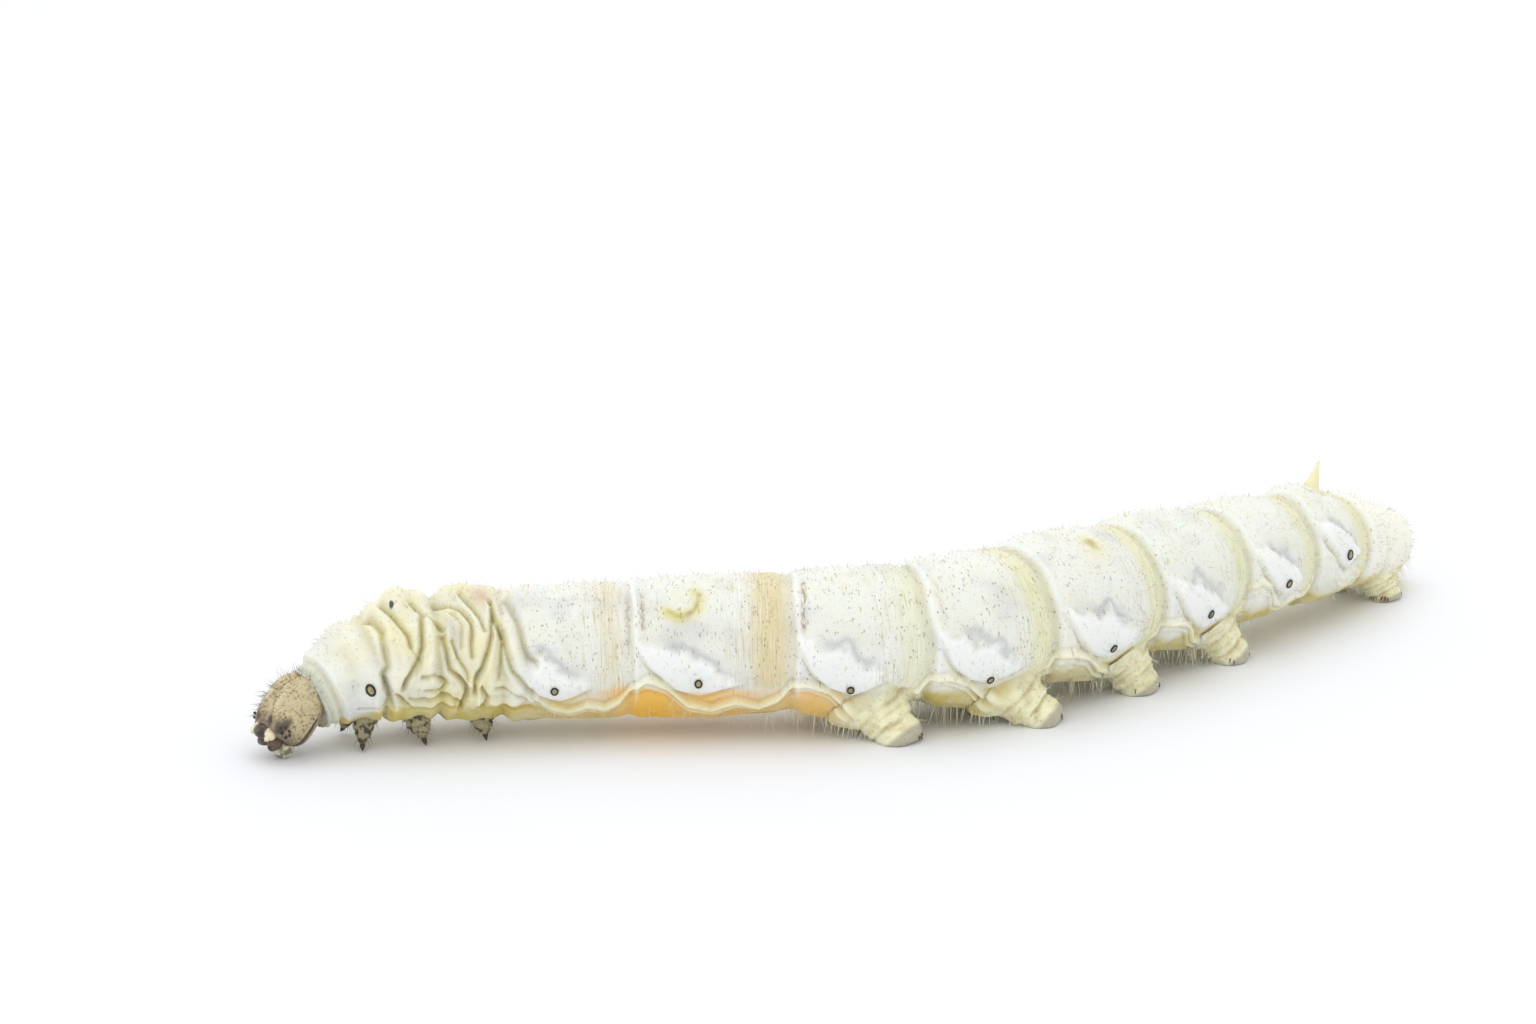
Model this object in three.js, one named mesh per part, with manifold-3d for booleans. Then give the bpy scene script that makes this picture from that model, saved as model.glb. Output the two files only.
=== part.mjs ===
// A life-size museum model of a mature silkworm, the larva of the silk moth, in a walking pose.
// Millimetres, +Z up, head towards -X, tail towards +X, the left flank towards -Y.
// The body is a bent tube of fourteen pieces. Each has its own folds, spiracles and legs.
import * as THREE from "three";
import { mergeVertices } from "three/addons/utils/BufferGeometryUtils.js";
import Module from "manifold-3d";

const wasm = await Module();
wasm.setup();

// Driving dimensions of the trunk, at the joints between its pieces, from the neck to the tail.
const pieceNames = ["prothorax", "mesothorax", "metathorax", "abdomen_1", "abdomen_2", "abdomen_3",
  "abdomen_4", "abdomen_5", "abdomen_6", "abdomen_7", "abdomen_8", "abdomen_9", "abdomen_10"];
const pieceLengths = [2.7, 3.4, 3.4, 6.5, 8.2, 6.3, 6.0, 7.4, 7.0, 5.8, 4.7, 2.4, 4.4];
const headingDegrees = [32, 22, 12, 6, 3, 2, 15, 35, 43, 44, 45, 48, 50, 50];
const axisHeights = [2.85, 3.85, 4.1, 4.1, 4.25, 4.4, 4.45, 4.6, 4.6, 4.35, 4.0, 3.5, 2.9, 2.2];
const bodyRadii = [1.95, 2.75, 3.1, 3.2, 3.4, 3.6, 3.75, 3.75, 3.55, 3.25, 3.0, 2.75, 2.35, 1.8];
const bulges = [0.05, 0.1, 0.1, 0.12, 0.12, 0.15, 0.2, 0.32, 0.32, 0.3, 0.25, 0.1, 0.05];
const bellyShare = 0.86; // how far the belly reaches below the axis, as a share of the back
const bellySag = { at: 17, reach: 9, depth: 0.4 }; // the belly hangs lower between the legs and the prolegs
const hornMound = { before: 0.9, reach: 1.4, spread: 24, height: 0.45 }; // the swelling that carries the horn
const gap = 0.3; // between neighbouring pieces
const grooveDepth = 0.32; // at each joint of the trunk
const grooveWidth = 0.45;
const ringSides = 32;
const neckLength = 0.95;

const joints = [0];
pieceLengths.forEach((length) => joints.push(joints.at(-1) + length));
const trunkLength = joints.at(-1);
const hornPlace = joints[10] + 0.42 * pieceLengths[10];
const radians = (degrees) => (degrees * Math.PI) / 180;
const clamp = (value, low, high) => Math.min(high, Math.max(low, value));
const bell = (x, width) => Math.exp(-((x / width) ** 2));

// A smooth curve through values given at the joints.
function along(values, s) {
  const i = clamp(joints.findIndex((joint) => joint > s) - 1, 0, joints.length - 2);
  const k = s >= trunkLength ? joints.length - 2 : i;
  const slope = (j) => {
    const a = Math.max(0, j - 1);
    const b = Math.min(joints.length - 1, j + 1);
    return (values[b] - values[a]) / (joints[b] - joints[a]);
  };
  if (s < 0) return values[0] + s * slope(0);
  const h = joints[k + 1] - joints[k];
  const t = clamp((s - joints[k]) / h, 0, 1);
  return (2 * t ** 3 - 3 * t ** 2 + 1) * values[k] + (t ** 3 - 2 * t ** 2 + t) * h * slope(k) +
    (3 * t ** 2 - 2 * t ** 3) * values[k + 1] + (t ** 3 - t ** 2) * h * slope(k + 1);
}

// The bent axis of the trunk, walked in small steps from a point well ahead of the neck.
const step = 0.1;
const ahead = -6;
const axisPoints = [];
{
  const point = new THREE.Vector3();
  for (let s = ahead; s < trunkLength + 3; s += step) {
    axisPoints.push(point.clone());
    const heading = radians(along(headingDegrees, Math.max(0, s + step / 2)));
    const rise = (along(axisHeights, s + step) - along(axisHeights, s)) / step;
    const level = Math.sqrt(1 - rise ** 2);
    point.x += step * level * Math.cos(heading);
    point.y += step * level * Math.sin(heading);
  }
}

// The row's origin is under the middle of the whole animal, once it is built.
function axisFrame(s) {
  const place = (s - ahead) / step;
  const i = clamp(Math.floor(place), 0, axisPoints.length - 2);
  const origin = axisPoints[i].clone().lerp(axisPoints[i + 1], place - i);
  origin.z = along(axisHeights, s);
  const heading = radians(along(headingDegrees, Math.max(0, s)));
  const rise = (along(axisHeights, s + 0.2) - along(axisHeights, s - 0.2)) / 0.4;
  const left = new THREE.Vector3(Math.sin(heading), -Math.cos(heading), 0);
  const back = new THREE.Vector3(Math.cos(heading), Math.sin(heading), rise).normalize();
  const up = new THREE.Vector3().crossVectors(left, back).negate().normalize();
  if (up.z < 0) up.negate();
  return { origin, left, back, up };
}

// Where s lies: which piece, and how far along it from 0 to 1.
function pieceAt(s) {
  let k = 0;
  while (k < pieceLengths.length - 1 && s > joints[k + 1]) k += 1;
  return { k, u: (s - joints[k]) / pieceLengths[k] };
}

// Folds of the thorax: where each crosses the flank, how far it leans, and how deep it is.
const thoraxFolds = [
  { piece: 0, u: 0.28, lean: 0.1, depth: 0.14, width: 0.3 },
  { piece: 1, u: 0.42, lean: 0.35, depth: 0.28, width: 0.32 },
  { piece: 1, u: 0.86, lean: 0.15, depth: 0.22, width: 0.26 },
  { piece: 2, u: 0.38, lean: 0.3, depth: 0.26, width: 0.3 },
  { piece: 2, u: 0.74, lean: 0.5, depth: 0.22, width: 0.26 },
  { piece: 3, u: 0.08, lean: 0.55, depth: 0.2, width: 0.3 },
];

// How far the skin stands out from the plain oval, in millimetres. Angle 0 is the flank and 90 the back.
function relief(s, angle) {
  const { k, u } = pieceAt(s);
  const length = pieceLengths[k];
  const height = Math.sin(angle);
  const side = Math.asin(clamp(height, -1, 1)); // 0 on either flank, positive above it
  const degrees = (side * 180) / Math.PI;
  let out = bulges[k] * Math.sin(Math.PI * clamp(u, 0, 1)) ** 0.7;
  const toJoint = Math.min(Math.abs(s - joints[k]), Math.abs(s - joints[k + 1]));
  if (s > 0.5 && s < trunkLength - 1.5) out -= grooveDepth * bell(toJoint, grooveWidth);
  if (k < 3 || (k === 3 && u < 0.3)) {
    const upper = clamp((height + 0.55) / 0.7, 0, 1);
    for (const fold of thoraxFolds) {
      const at = joints[fold.piece] + pieceLengths[fold.piece] * (fold.u - fold.lean * height * 0.5);
      out -= fold.depth * upper * bell(s - at, fold.width);
      out += fold.depth * 0.5 * upper * bell(s - at - 2.2 * fold.width, fold.width * 1.3);
    }
    if (k === 1 && height > 0) out += 0.75 * bell(s - joints[1] - 1.7, 1.0) * height ** 3;
    if (k === 2 && height > 0) out += 0.45 * bell(s - joints[2] - 1.5, 0.8) * height ** 4;
  }
  if (k >= 3 && k <= 10) {
    // The white cushion that holds the spiracle, with the groove and the wavy cord under it.
    const lobe = bell((u - 0.42) * length, length * 0.27) * bell(degrees + 14 - 20 * (0.42 - u), 17);
    out += 0.3 * lobe;
    const sag = 13 * Math.cos(2 * Math.PI * (u - 0.45));
    out -= 0.26 * bell(degrees + 24 + sag, 5);
    out += 0.3 * bell(degrees + 33 + sag, 6);
    out -= 0.1 * bell(degrees + 45 + sag * 0.6, 7);
  } else if (k < 3) {
    out += 0.28 * bell((u - (k ? 0.5 : 0.72)) * length, 1.0) * bell(degrees + 16, 17);
    out += 0.25 * bell((u - 0.55) * length, 0.9) * bell(degrees + 48, 13);
  }
  out *= 0.35 + 0.65 * clamp(1 - Math.max(0, -degrees - 60) / 30, 0, 1);
  const mound = hornMound.height * bell(s - hornPlace + hornMound.before, hornMound.reach);
  out += mound * bell(degrees - 90, hornMound.spread);
  return out + bellySag.depth * bell(s - bellySag.at, bellySag.reach) * clamp((-degrees - 25) / 35, 0, 1);
}

function bodyRadius(s, angle) {
  const radius = along(bodyRadii, clamp(s, 0, trunkLength));
  const reach = Math.sin(angle) < 0 ? bellyShare : 1;
  const oval = radius / Math.sqrt(Math.cos(angle) ** 2 + (Math.sin(angle) / reach) ** 2);
  // The tail closes in a blunt dome.
  const dome = clamp((s - (trunkLength - 2.6)) / 2.6, 0, 1);
  return (oval + relief(s, angle)) * Math.sqrt(1 - 0.97 * dome ** 2.6);
}

function bodyPoint(s, angle, out = 0) {
  const { origin, left, up } = axisFrame(s);
  const r = bodyRadius(s, angle) + out;
  return origin.addScaledVector(left, r * Math.cos(angle)).addScaledVector(up, r * Math.sin(angle));
}

// The outward direction of the skin at a place on the body.
function bodyNormal(s, angle) {
  const a = bodyPoint(s + 0.15, angle).sub(bodyPoint(s - 0.15, angle));
  const b = bodyPoint(s, angle + 0.05).sub(bodyPoint(s, angle - 0.05));
  const n = a.cross(b).normalize();
  const { origin } = axisFrame(s);
  return n.dot(bodyPoint(s, angle).sub(origin)) < 0 ? n.negate() : n;
}

// Moves every corner of a geometry to where place() puts it, and merges what falls together.
function reshape(geometry, place) {
  const positions = geometry.getAttribute("position");
  const corner = new THREE.Vector3();
  for (let i = 0; i < positions.count; i += 1) {
    corner.fromBufferAttribute(positions, i);
    const moved = place(corner);
    positions.setXYZ(i, moved.x, moved.y, moved.z);
  }
  geometry.deleteAttribute("normal");
  geometry.deleteAttribute("uv");
  return mergeVertices(geometry, 1e-4);
}

function solidOf(geometry) {
  const triVerts = new Uint32Array(geometry.index.array);
  const vertProperties = new Float32Array(geometry.getAttribute("position").array);
  const make = () => new wasm.Manifold(new wasm.Mesh({ numProp: 3, vertProperties, triVerts }));
  let solid = make();
  if (solid.volume() < 0) {
    for (let i = 0; i < triVerts.length; i += 3) {
      [triVerts[i + 1], triVerts[i + 2]] = [triVerts[i + 2], triVerts[i + 1]];
    }
    solid = make();
  }
  return solid;
}

function largestOf(solid) {
  return solid.decompose().sort((a, b) => b.volume() - a.volume())[0];
}

// A stretch of trunk from s = from to s = to, with flat ends square to the axis.
function trunkSolid(from, to, rings, out = 0) {
  const drum = new THREE.CylinderGeometry(1, 1, 1, ringSides, rings, false);
  return solidOf(reshape(drum, ({ x, y, z }) => {
    const s = from + (to - from) * (y + 0.5);
    const distance = Math.hypot(x, z);
    const { origin } = axisFrame(s);
    if (distance < 0.5) return origin;
    return bodyPoint(s, Math.atan2(z, x), out);
  }));
}

const floorBlock = solidOf(reshape(new THREE.BoxGeometry(200, 200, 20), (p) => p.setZ(p.z - 10)));

// A ball reshaped by radii along three directions, centred at a point.
function ovalSolid(centre, axes, radii, sides = 12) {
  const ball = new THREE.SphereGeometry(1, sides, Math.max(4, Math.round(sides * 0.6)));
  return solidOf(reshape(ball, (p) => centre.clone()
    .addScaledVector(axes[0], p.x * radii[0])
    .addScaledVector(axes[1], p.y * radii[1])
    .addScaledVector(axes[2], p.z * radii[2])));
}

// A limb of round sections along a straight or bowed line: each section is [share of length, width, depth].
function limbSolid({ root, direction, across, length, sections, bow = 0, sides = 14 }) {
  const deep = new THREE.Vector3().crossVectors(direction, across).normalize();
  const drum = new THREE.CylinderGeometry(1, 1, 1, sides, sections.length - 1, false);
  return solidOf(reshape(drum, ({ x, y, z }) => {
    const i = Math.round((y + 0.5) * (sections.length - 1));
    const [share, width, depth] = sections[i];
    return root.clone()
      .addScaledVector(direction, share * length)
      .addScaledVector(deep, bow * Math.sin((Math.PI / 2) * share) * share)
      .addScaledVector(across, x * width)
      .addScaledVector(deep, z * depth);
  }));
}

// Spiracles, one a side on nine pieces: the first and the last are larger and sit higher.
const spiracles = [{ piece: 0, u: 0.75, size: 0.42, angle: -2 }];
const abdomenAngles = [-17, -16, -21, -23, -18, -14, -6, 6];
abdomenAngles.forEach((angle, i) => spiracles.push({ piece: i + 3, u: 0.44, size: i === 7 ? 0.38 : 0.3, angle }));

function spiracleRim({ piece, u, size, angle: degrees }, side) {
  const s = joints[piece] + u * pieceLengths[piece];
  const angle = side > 0 ? radians(degrees) : Math.PI - radians(degrees);
  const centre = bodyPoint(s, angle, 0.02);
  const normal = bodyNormal(s, angle);
  const across = new THREE.Vector3().crossVectors(new THREE.Vector3(0, 0, 1), normal).normalize();
  const high = new THREE.Vector3().crossVectors(normal, across);
  const ring = new THREE.TorusGeometry(1, 0.3, 3, 8);
  return solidOf(reshape(ring, (p) => centre.clone()
    .addScaledVector(across, p.x * size * 0.62)
    .addScaledVector(high, p.y * size)
    .addScaledVector(normal, p.z * 0.45)));
}

const group = new THREE.Group();
const colours = {
  skin: "#eceee2", neck: "#e4e6da", headShell: "#a5875f", mouthShell: "#5b4a3a", antenna: "#cfc7ae",
  eye: "#1d1712", thoracicLeg: "#857a55", proleg: "#e6e2bd", horn: "#e8dda6",
};

function addNode(name, solid, colour, roughness = 0.5) {
  const whole = largestOf(solid);
  const { numProp, vertProperties, triVerts } = whole.getMesh();
  const corners = new Float32Array((vertProperties.length / numProp) * 3);
  for (let i = 0; i < corners.length / 3; i += 1) {
    corners.set(vertProperties.subarray(i * numProp, i * numProp + 3), i * 3);
  }
  const geometry = new THREE.BufferGeometry();
  geometry.setAttribute("position", new THREE.BufferAttribute(corners, 3));
  geometry.setIndex(new THREE.BufferAttribute(triVerts, 1));
  const mesh = new THREE.Mesh(geometry, new THREE.MeshStandardMaterial({ color: colour, roughness, metalness: 0 }));
  mesh.name = name;
  group.add(mesh);
  return whole;
}

// The trunk, piece by piece, each with its spiracle rims.
const ringCounts = [6, 7, 7, 7, 8, 7, 7, 8, 8, 7, 6, 3, 6];
pieceNames.forEach((name, k) => {
  const from = joints[k] + gap / 2;
  const to = k === pieceNames.length - 1 ? joints[k + 1] : joints[k + 1] - gap / 2;
  let solid = trunkSolid(from, to, ringCounts[k]);
  for (const spiracle of spiracles.filter(({ piece }) => piece === k)) {
    for (const side of [1, -1]) solid = solid.add(spiracleRim(spiracle, side));
  }
  addNode(name, solid, colours.skin);
});

// What limbs are cut by, so that each meets the skin with a gap.
const skinWithGap = trunkSolid(0, trunkLength, 96, gap);

// The tail horn, a soft curved spike on the back of the eighth ring of the abdomen.
{
  const { left, back, up } = axisFrame(hornPlace);
  const direction = up.clone().addScaledVector(back, 0.55).normalize();
  const horn = limbSolid({
    root: bodyPoint(hornPlace, Math.PI / 2, -0.7), direction, across: left, length: 2.3, bow: -0.35, sides: 12,
    sections: [[0, 0.95, 1.15], [0.3, 0.62, 0.85], [0.5, 0.42, 0.52], [0.7, 0.27, 0.3], [0.88, 0.17, 0.18], [1, 0.09, 0.09]],
  });
  addNode("tail_horn", horn.subtract(skinWithGap), colours.horn);
}

// A point on the floor beside the axis: how far past the joint, and how far out to one side.
function floorPoint(joint, past, aside, side) {
  const { origin, left, back } = axisFrame(joints[joint]);
  return origin.addScaledVector(back.setZ(0).normalize(), past)
    .addScaledVector(left, side * aside).setZ(-0.2);
}

// The directions of a limb that runs from its root to its sole.
function limbFrame(root, sole, back) {
  const direction = sole.clone().sub(root);
  const length = direction.length();
  direction.normalize();
  const across = back.clone().addScaledVector(direction, -back.dot(direction)).normalize();
  return { root, direction, across, length };
}

const sideSigns = [["left", 1], ["right", -1]];
const angleOn = (degrees, side) => (side > 0 ? radians(degrees) : Math.PI - radians(degrees));

// Thoracic legs: short, in three joints, ending in one claw that rests on the floor.
const thoracicLegs = [
  { name: "leg_front", piece: 0, u: 0.6, past: -0.9, aside: 1.6, width: 0.58 },
  { name: "leg_middle", piece: 1, u: 0.62, past: -0.7, aside: 1.8, width: 0.66 },
  { name: "leg_hind", piece: 2, u: 0.66, past: -0.8, aside: 1.5, width: 0.64 },
];
for (const { name, piece, u, past, aside, width } of thoracicLegs) {
  for (const [sideName, side] of sideSigns) {
    const s = joints[piece] + u * pieceLengths[piece];
    const frame = limbFrame(
      bodyPoint(s, angleOn(-62, side), -0.5), floorPoint(piece + 1, past, aside, side), axisFrame(s).back);
    const leg = limbSolid({
      ...frame, sides: 10,
      sections: [[0, width, width * 0.9], [0.42, width, width * 0.9], [0.46, width * 0.86, width * 0.78],
        [0.62, width * 0.78, width * 0.7], [0.66, width * 0.64, width * 0.6], [0.8, width * 0.54, width * 0.5],
        [0.84, width * 0.4, width * 0.38], [1, 0.18, 0.16]],
    });
    addNode(name + "_" + sideName, leg.subtract(skinWithGap).subtract(floorBlock), colours.thoracicLeg);
  }
}

// Prolegs: stout folded cones, each with a round pad for its hooks. The first two pairs are swept back.
const prolegs = [
  { piece: 5, u: 0.52, past: -1.1, aside: 3.5, width: 1.5 },
  { piece: 6, u: 0.58, past: -0.2, aside: 3.6, width: 1.5 },
  { piece: 7, u: 0.72, past: -0.7, aside: 2.9, width: 1.45 },
  { piece: 8, u: 0.72, past: -0.4, aside: 2.7, width: 1.4 },
];
const prolegSections = [[0, 1.1, 0.85], [0.35, 1.16, 0.9], [0.5, 1.06, 0.84], [0.56, 0.92, 0.76],
  [0.68, 0.9, 0.76], [0.74, 0.76, 0.66], [0.84, 0.82, 0.7], [0.95, 0.72, 0.64], [1, 0.5, 0.46]];
for (const { piece, u, past, aside, width } of prolegs) {
  for (const [sideName, side] of sideSigns) {
    const s = joints[piece] + u * pieceLengths[piece];
    const frame = limbFrame(
      bodyPoint(s, angleOn(-50, side), -1.3), floorPoint(piece + 1, past, aside, side), axisFrame(s).back);
    const leg = limbSolid({
      ...frame, sides: 14,
      sections: prolegSections.map(([share, wide, deep]) => [share, wide * width, deep * width]),
    });
    addNode("proleg_" + (piece - 2) + "_" + sideName, leg.subtract(skinWithGap).subtract(floorBlock),
      colours.proleg);
  }
}
// The anal pair clasps the floor at the very end.
for (const [sideName, side] of sideSigns) {
  const s = joints[12] + 0.9;
  const frame = limbFrame(
    bodyPoint(s, angleOn(-50, side), -0.9), floorPoint(12, 0.9, 1.9, side), axisFrame(s).back);
  const leg = limbSolid({
    ...frame, sides: 14,
    sections: prolegSections.map(([share, wide, deep]) => [share, wide * 1.25, deep * 1.15]),
  });
  addNode("clasper_" + sideName, leg.subtract(skinWithGap).subtract(floorBlock), colours.proleg);
}

// The head hangs from the neck: its own axes are side (left), crown (towards the top) and face (forwards).
const headSize = { halfWidth: 1.7, halfHeight: 1.85, halfDepth: 1.36 };
const headTilt = radians(38);
const neckFrame = axisFrame(0);
const face = neckFrame.back.clone().negate().setZ(0).normalize();
const headCentre = axisFrame(0).origin.clone().addScaledVector(face, 1.68).setZ(2.45);
const side = neckFrame.left.clone();
const crown = new THREE.Vector3(0, 0, Math.cos(headTilt)).addScaledVector(face, -Math.sin(headTilt));
const forward = new THREE.Vector3().crossVectors(side, crown).normalize();
if (forward.dot(face) < 0) forward.negate();

function headPoint(direction, out = 0) {
  const { x, y, z } = direction; // side, crown, face
  const { halfWidth, halfHeight, halfDepth } = headSize;
  // The shell is round above and blunter towards the mouth.
  const power = y < 0 ? 2 + 0.9 * Math.min(1, -1.5 * y) : 2;
  let r = (Math.abs(x / halfWidth) ** power + Math.abs(y / halfHeight) ** power +
    Math.abs(z / halfDepth) ** power) ** (-1 / power);
  r *= 1 + 0.05 * bell(Math.abs(x) - 0.55, 0.35) * clamp(y + 0.4, 0, 1); // two rounded cheeks
  r -= 0.16 * bell(x, 0.1) * clamp(y * 1.6, 0, 1); // the seam over the crown
  r -= 0.1 * bell(x, 0.3) * clamp(-y * 1.5, 0, 1) * clamp(z, 0, 1); // flat front plate
  return headCentre.clone()
    .addScaledVector(side, x * (r + out))
    .addScaledVector(crown, y * (r + out))
    .addScaledVector(forward, z * (r + out));
}
const headDirection = (sideways, upwards) => new THREE.Vector3(
  Math.sin(radians(sideways)) * Math.cos(radians(upwards)),
  Math.sin(radians(upwards)),
  Math.cos(radians(sideways)) * Math.cos(radians(upwards)),
);
const headShape = (out, sides, rows) => solidOf(reshape(
  new THREE.SphereGeometry(1, sides, rows), (p) => headPoint(p.clone().normalize(), out)));

// The neck is a pale soft collar between the shell and the first ring of the thorax.
{
  const from = -neckLength;
  const collar = trunkSolid(from, -gap / 2, 3);
  addNode("neck", collar.subtract(headShape(gap, 16, 10)), colours.neck);
}
const headShell = headShape(0, 26, 16);

addNode("head_shell", headShell, colours.headShell, 0.35);

// Small parts of the face, each cut clear of the shell and of those before it.
const smallGap = 0.2;
const nearShell = headShape(smallGap, 26, 16);
const nearParts = [];
function facePart(name, shape, colour, roughness = 0.35) {
  let solid = shape(0).subtract(nearShell).subtract(floorBlock);
  for (const other of nearParts) solid = solid.subtract(other);
  nearParts.push(shape(smallGap));
  addNode(name, solid, colour, roughness);
}

// Sideways, up the face and straight out, at one place on the shell.
function faceAxes(direction) {
  const out = headPoint(direction, 1).sub(headPoint(direction, 0)).normalize();
  const wide = side.clone().addScaledVector(out, -side.dot(out)).normalize();
  return { wide, high: new THREE.Vector3().crossVectors(out, wide).normalize(), out };
}

function faceOval(direction, height, radii, sides = 12) {
  const { wide, high, out } = faceAxes(direction);
  return (grow) => ovalSolid(headPoint(direction, height), [wide, high, out], radii.map((r) => r + grow), sides);
}

function facePeg(direction, height, length, sections, sides = 8) {
  const { wide, out } = faceAxes(direction);
  return (grow) => limbSolid({
    root: headPoint(direction, height), direction: out, across: wide, length: length + grow, sides,
    sections: sections.map(([share, w, d]) => [share, w + grow, d + grow]),
  });
}

const feelerSections = [[0, 0.34, 0.34], [0.5, 0.3, 0.3], [0.54, 0.22, 0.22], [0.86, 0.2, 0.2], [0.9, 0.13, 0.13], [1, 0.1, 0.1]];
for (const [sideName, sign] of sideSigns) {
  facePart("antenna_" + sideName, facePeg(headDirection(sign * 42, -62), 0, 0.75, feelerSections, 9), colours.antenna);
  // Six small lenses on one low patch behind the feeler: five in an arc and one inside it.
  const place = headDirection(sign * 68, -42);
  const { wide, high } = faceAxes(place);
  facePart("eyes_" + sideName, (grow) => {
    let patch = faceOval(place, 0.12, [0.52, 0.52, 0.3], 9)(grow);
    for (let i = 0; i < 6; i += 1) {
      const turn = radians(i < 5 ? -100 + i * 50 : 180);
      const reach = i < 5 ? 0.34 : 0.12;
      const lens = headPoint(place, 0.34).addScaledVector(wide, reach * Math.cos(turn))
        .addScaledVector(high, reach * Math.sin(turn));
      const axes = faceAxes(place);
      patch = patch.add(ovalSolid(lens, [axes.wide, axes.high, axes.out], [0.12, 0.12, 0.13], 6));
    }
    return patch;
  }, colours.eye, 0.15);
}
facePart("labrum", (grow) => faceOval(headDirection(0, -66), 0.1, [0.62, 0.32, 0.42], 12)(grow)
  .subtract(faceOval(headDirection(0, -76), 0.5, [0.14, 0.3, 0.4], 6)(0)), colours.mouthShell);
for (const [sideName, sign] of sideSigns) {
  facePart("mandible_" + sideName, faceOval(headDirection(sign * 75, -76), 0.1, [0.36, 0.36, 0.5], 9), colours.mouthShell);
}
{
  // The lower lip, with a palp at each side and the spinneret in the middle.
  const tip = headDirection(180, -72);
  const { wide } = faceAxes(tip);
  facePart("lower_lip", (grow) => {
    let lip = faceOval(tip, 0.1, [0.9, 0.55, 0.6], 11)(grow);
    for (const sign of [-1, 0, 1]) {
      const axes = faceAxes(tip);
      lip = lip.add(limbSolid({
        root: headPoint(tip, 0.2).addScaledVector(wide, sign * 0.5), direction: axes.out, across: wide,
        length: (sign ? 0.75 : 0.9) + grow, sides: 7,
        sections: [[0, 0.26 + grow, 0.26 + grow], [0.7, 0.2 + grow, 0.2 + grow], [1, 0.1 + grow, 0.1 + grow]],
      }));
    }
    return lip;
  }, colours.mouthShell);
}

// Sets the origin under the middle of the animal, on the floor that it rests on.
const bounds = new THREE.Box3().setFromObject(group);
const middle = bounds.getCenter(new THREE.Vector3());
group.position.set(-middle.x, -middle.y, -bounds.min.z);
export default group;
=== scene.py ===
import math

import bpy
import numpy as np
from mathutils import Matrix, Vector
from mathutils.bvhtree import BVHTree


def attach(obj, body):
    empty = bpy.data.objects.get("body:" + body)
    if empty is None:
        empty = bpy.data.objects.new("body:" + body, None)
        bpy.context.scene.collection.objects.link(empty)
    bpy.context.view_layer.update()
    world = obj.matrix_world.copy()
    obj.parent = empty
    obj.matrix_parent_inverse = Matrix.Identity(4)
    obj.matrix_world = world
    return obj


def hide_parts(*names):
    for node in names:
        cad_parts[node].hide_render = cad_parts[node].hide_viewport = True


# A life-size museum model of a mature silkworm. Bodies are modelled in millimetres and scaled to metres.
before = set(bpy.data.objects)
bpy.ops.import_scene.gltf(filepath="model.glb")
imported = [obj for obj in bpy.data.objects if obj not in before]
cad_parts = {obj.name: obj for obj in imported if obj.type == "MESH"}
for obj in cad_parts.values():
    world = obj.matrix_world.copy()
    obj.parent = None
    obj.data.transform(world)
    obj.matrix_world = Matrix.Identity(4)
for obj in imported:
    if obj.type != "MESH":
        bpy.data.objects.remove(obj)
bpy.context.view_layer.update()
mm = 0.001
gap = 0.3
flankNames = (("left", 1), ("right", -1))

# The trunk's driving dimensions at its joints, from the neck to the tail, as in the solids
trunk = {
    "lengths": [2.7, 3.4, 3.4, 6.5, 8.2, 6.3, 6.0, 7.4, 7.0, 5.8, 4.7, 2.4, 4.4],
    "headings": [32, 22, 12, 6, 3, 2, 15, 35, 43, 44, 45, 48, 50, 50],
    "heights": [2.85, 3.85, 4.1, 4.1, 4.25, 4.4, 4.45, 4.6, 4.6, 4.35, 4.0, 3.5, 2.9, 2.2],
    "radii": [1.95, 2.75, 3.1, 3.2, 3.4, 3.6, 3.75, 3.75, 3.55, 3.25, 3.0, 2.75, 2.35, 1.8],
    "bulges": [0.05, 0.1, 0.1, 0.12, 0.12, 0.15, 0.2, 0.32, 0.32, 0.3, 0.25, 0.1, 0.05],
    "bellyShare": 0.86,
    "neckLength": 0.95,
    "tailDome": 2.6,
}
lengths = np.array(trunk["lengths"])
joints = np.concatenate([[0], np.cumsum(lengths)])
hornPlace = joints[10] + 0.42 * lengths[10]
trunkLength = joints[-1]


def bell(x, width):
    return np.exp(-((x / width) ** 2))


def ease(x, low, high):
    t = np.clip((x - low) / (high - low), 0, 1)
    return t * t * (3 - 2 * t)


# A smooth curve through values given at the joints
def along(values, s):
    values = np.array(values, float)
    s = np.asarray(s, float)
    before = np.maximum(np.arange(len(values)) - 1, 0)
    after = np.minimum(np.arange(len(values)) + 1, len(values) - 1)
    slopes = (values[after] - values[before]) / (joints[after] - joints[before])
    k = np.clip(np.searchsorted(joints, s, side="right") - 1, 0, len(values) - 2)
    h = joints[k + 1] - joints[k]
    t = np.clip((s - joints[k]) / h, 0, 1)
    start = (2 * t**3 - 3 * t**2 + 1) * values[k] + (t**3 - 2 * t**2 + t) * h * slopes[k]
    end = (3 * t**2 - 2 * t**3) * values[k + 1] + (t**3 - t**2) * h * slopes[k + 1]
    return np.where(s < 0, values[0] + s * slopes[0], start + end)


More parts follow.
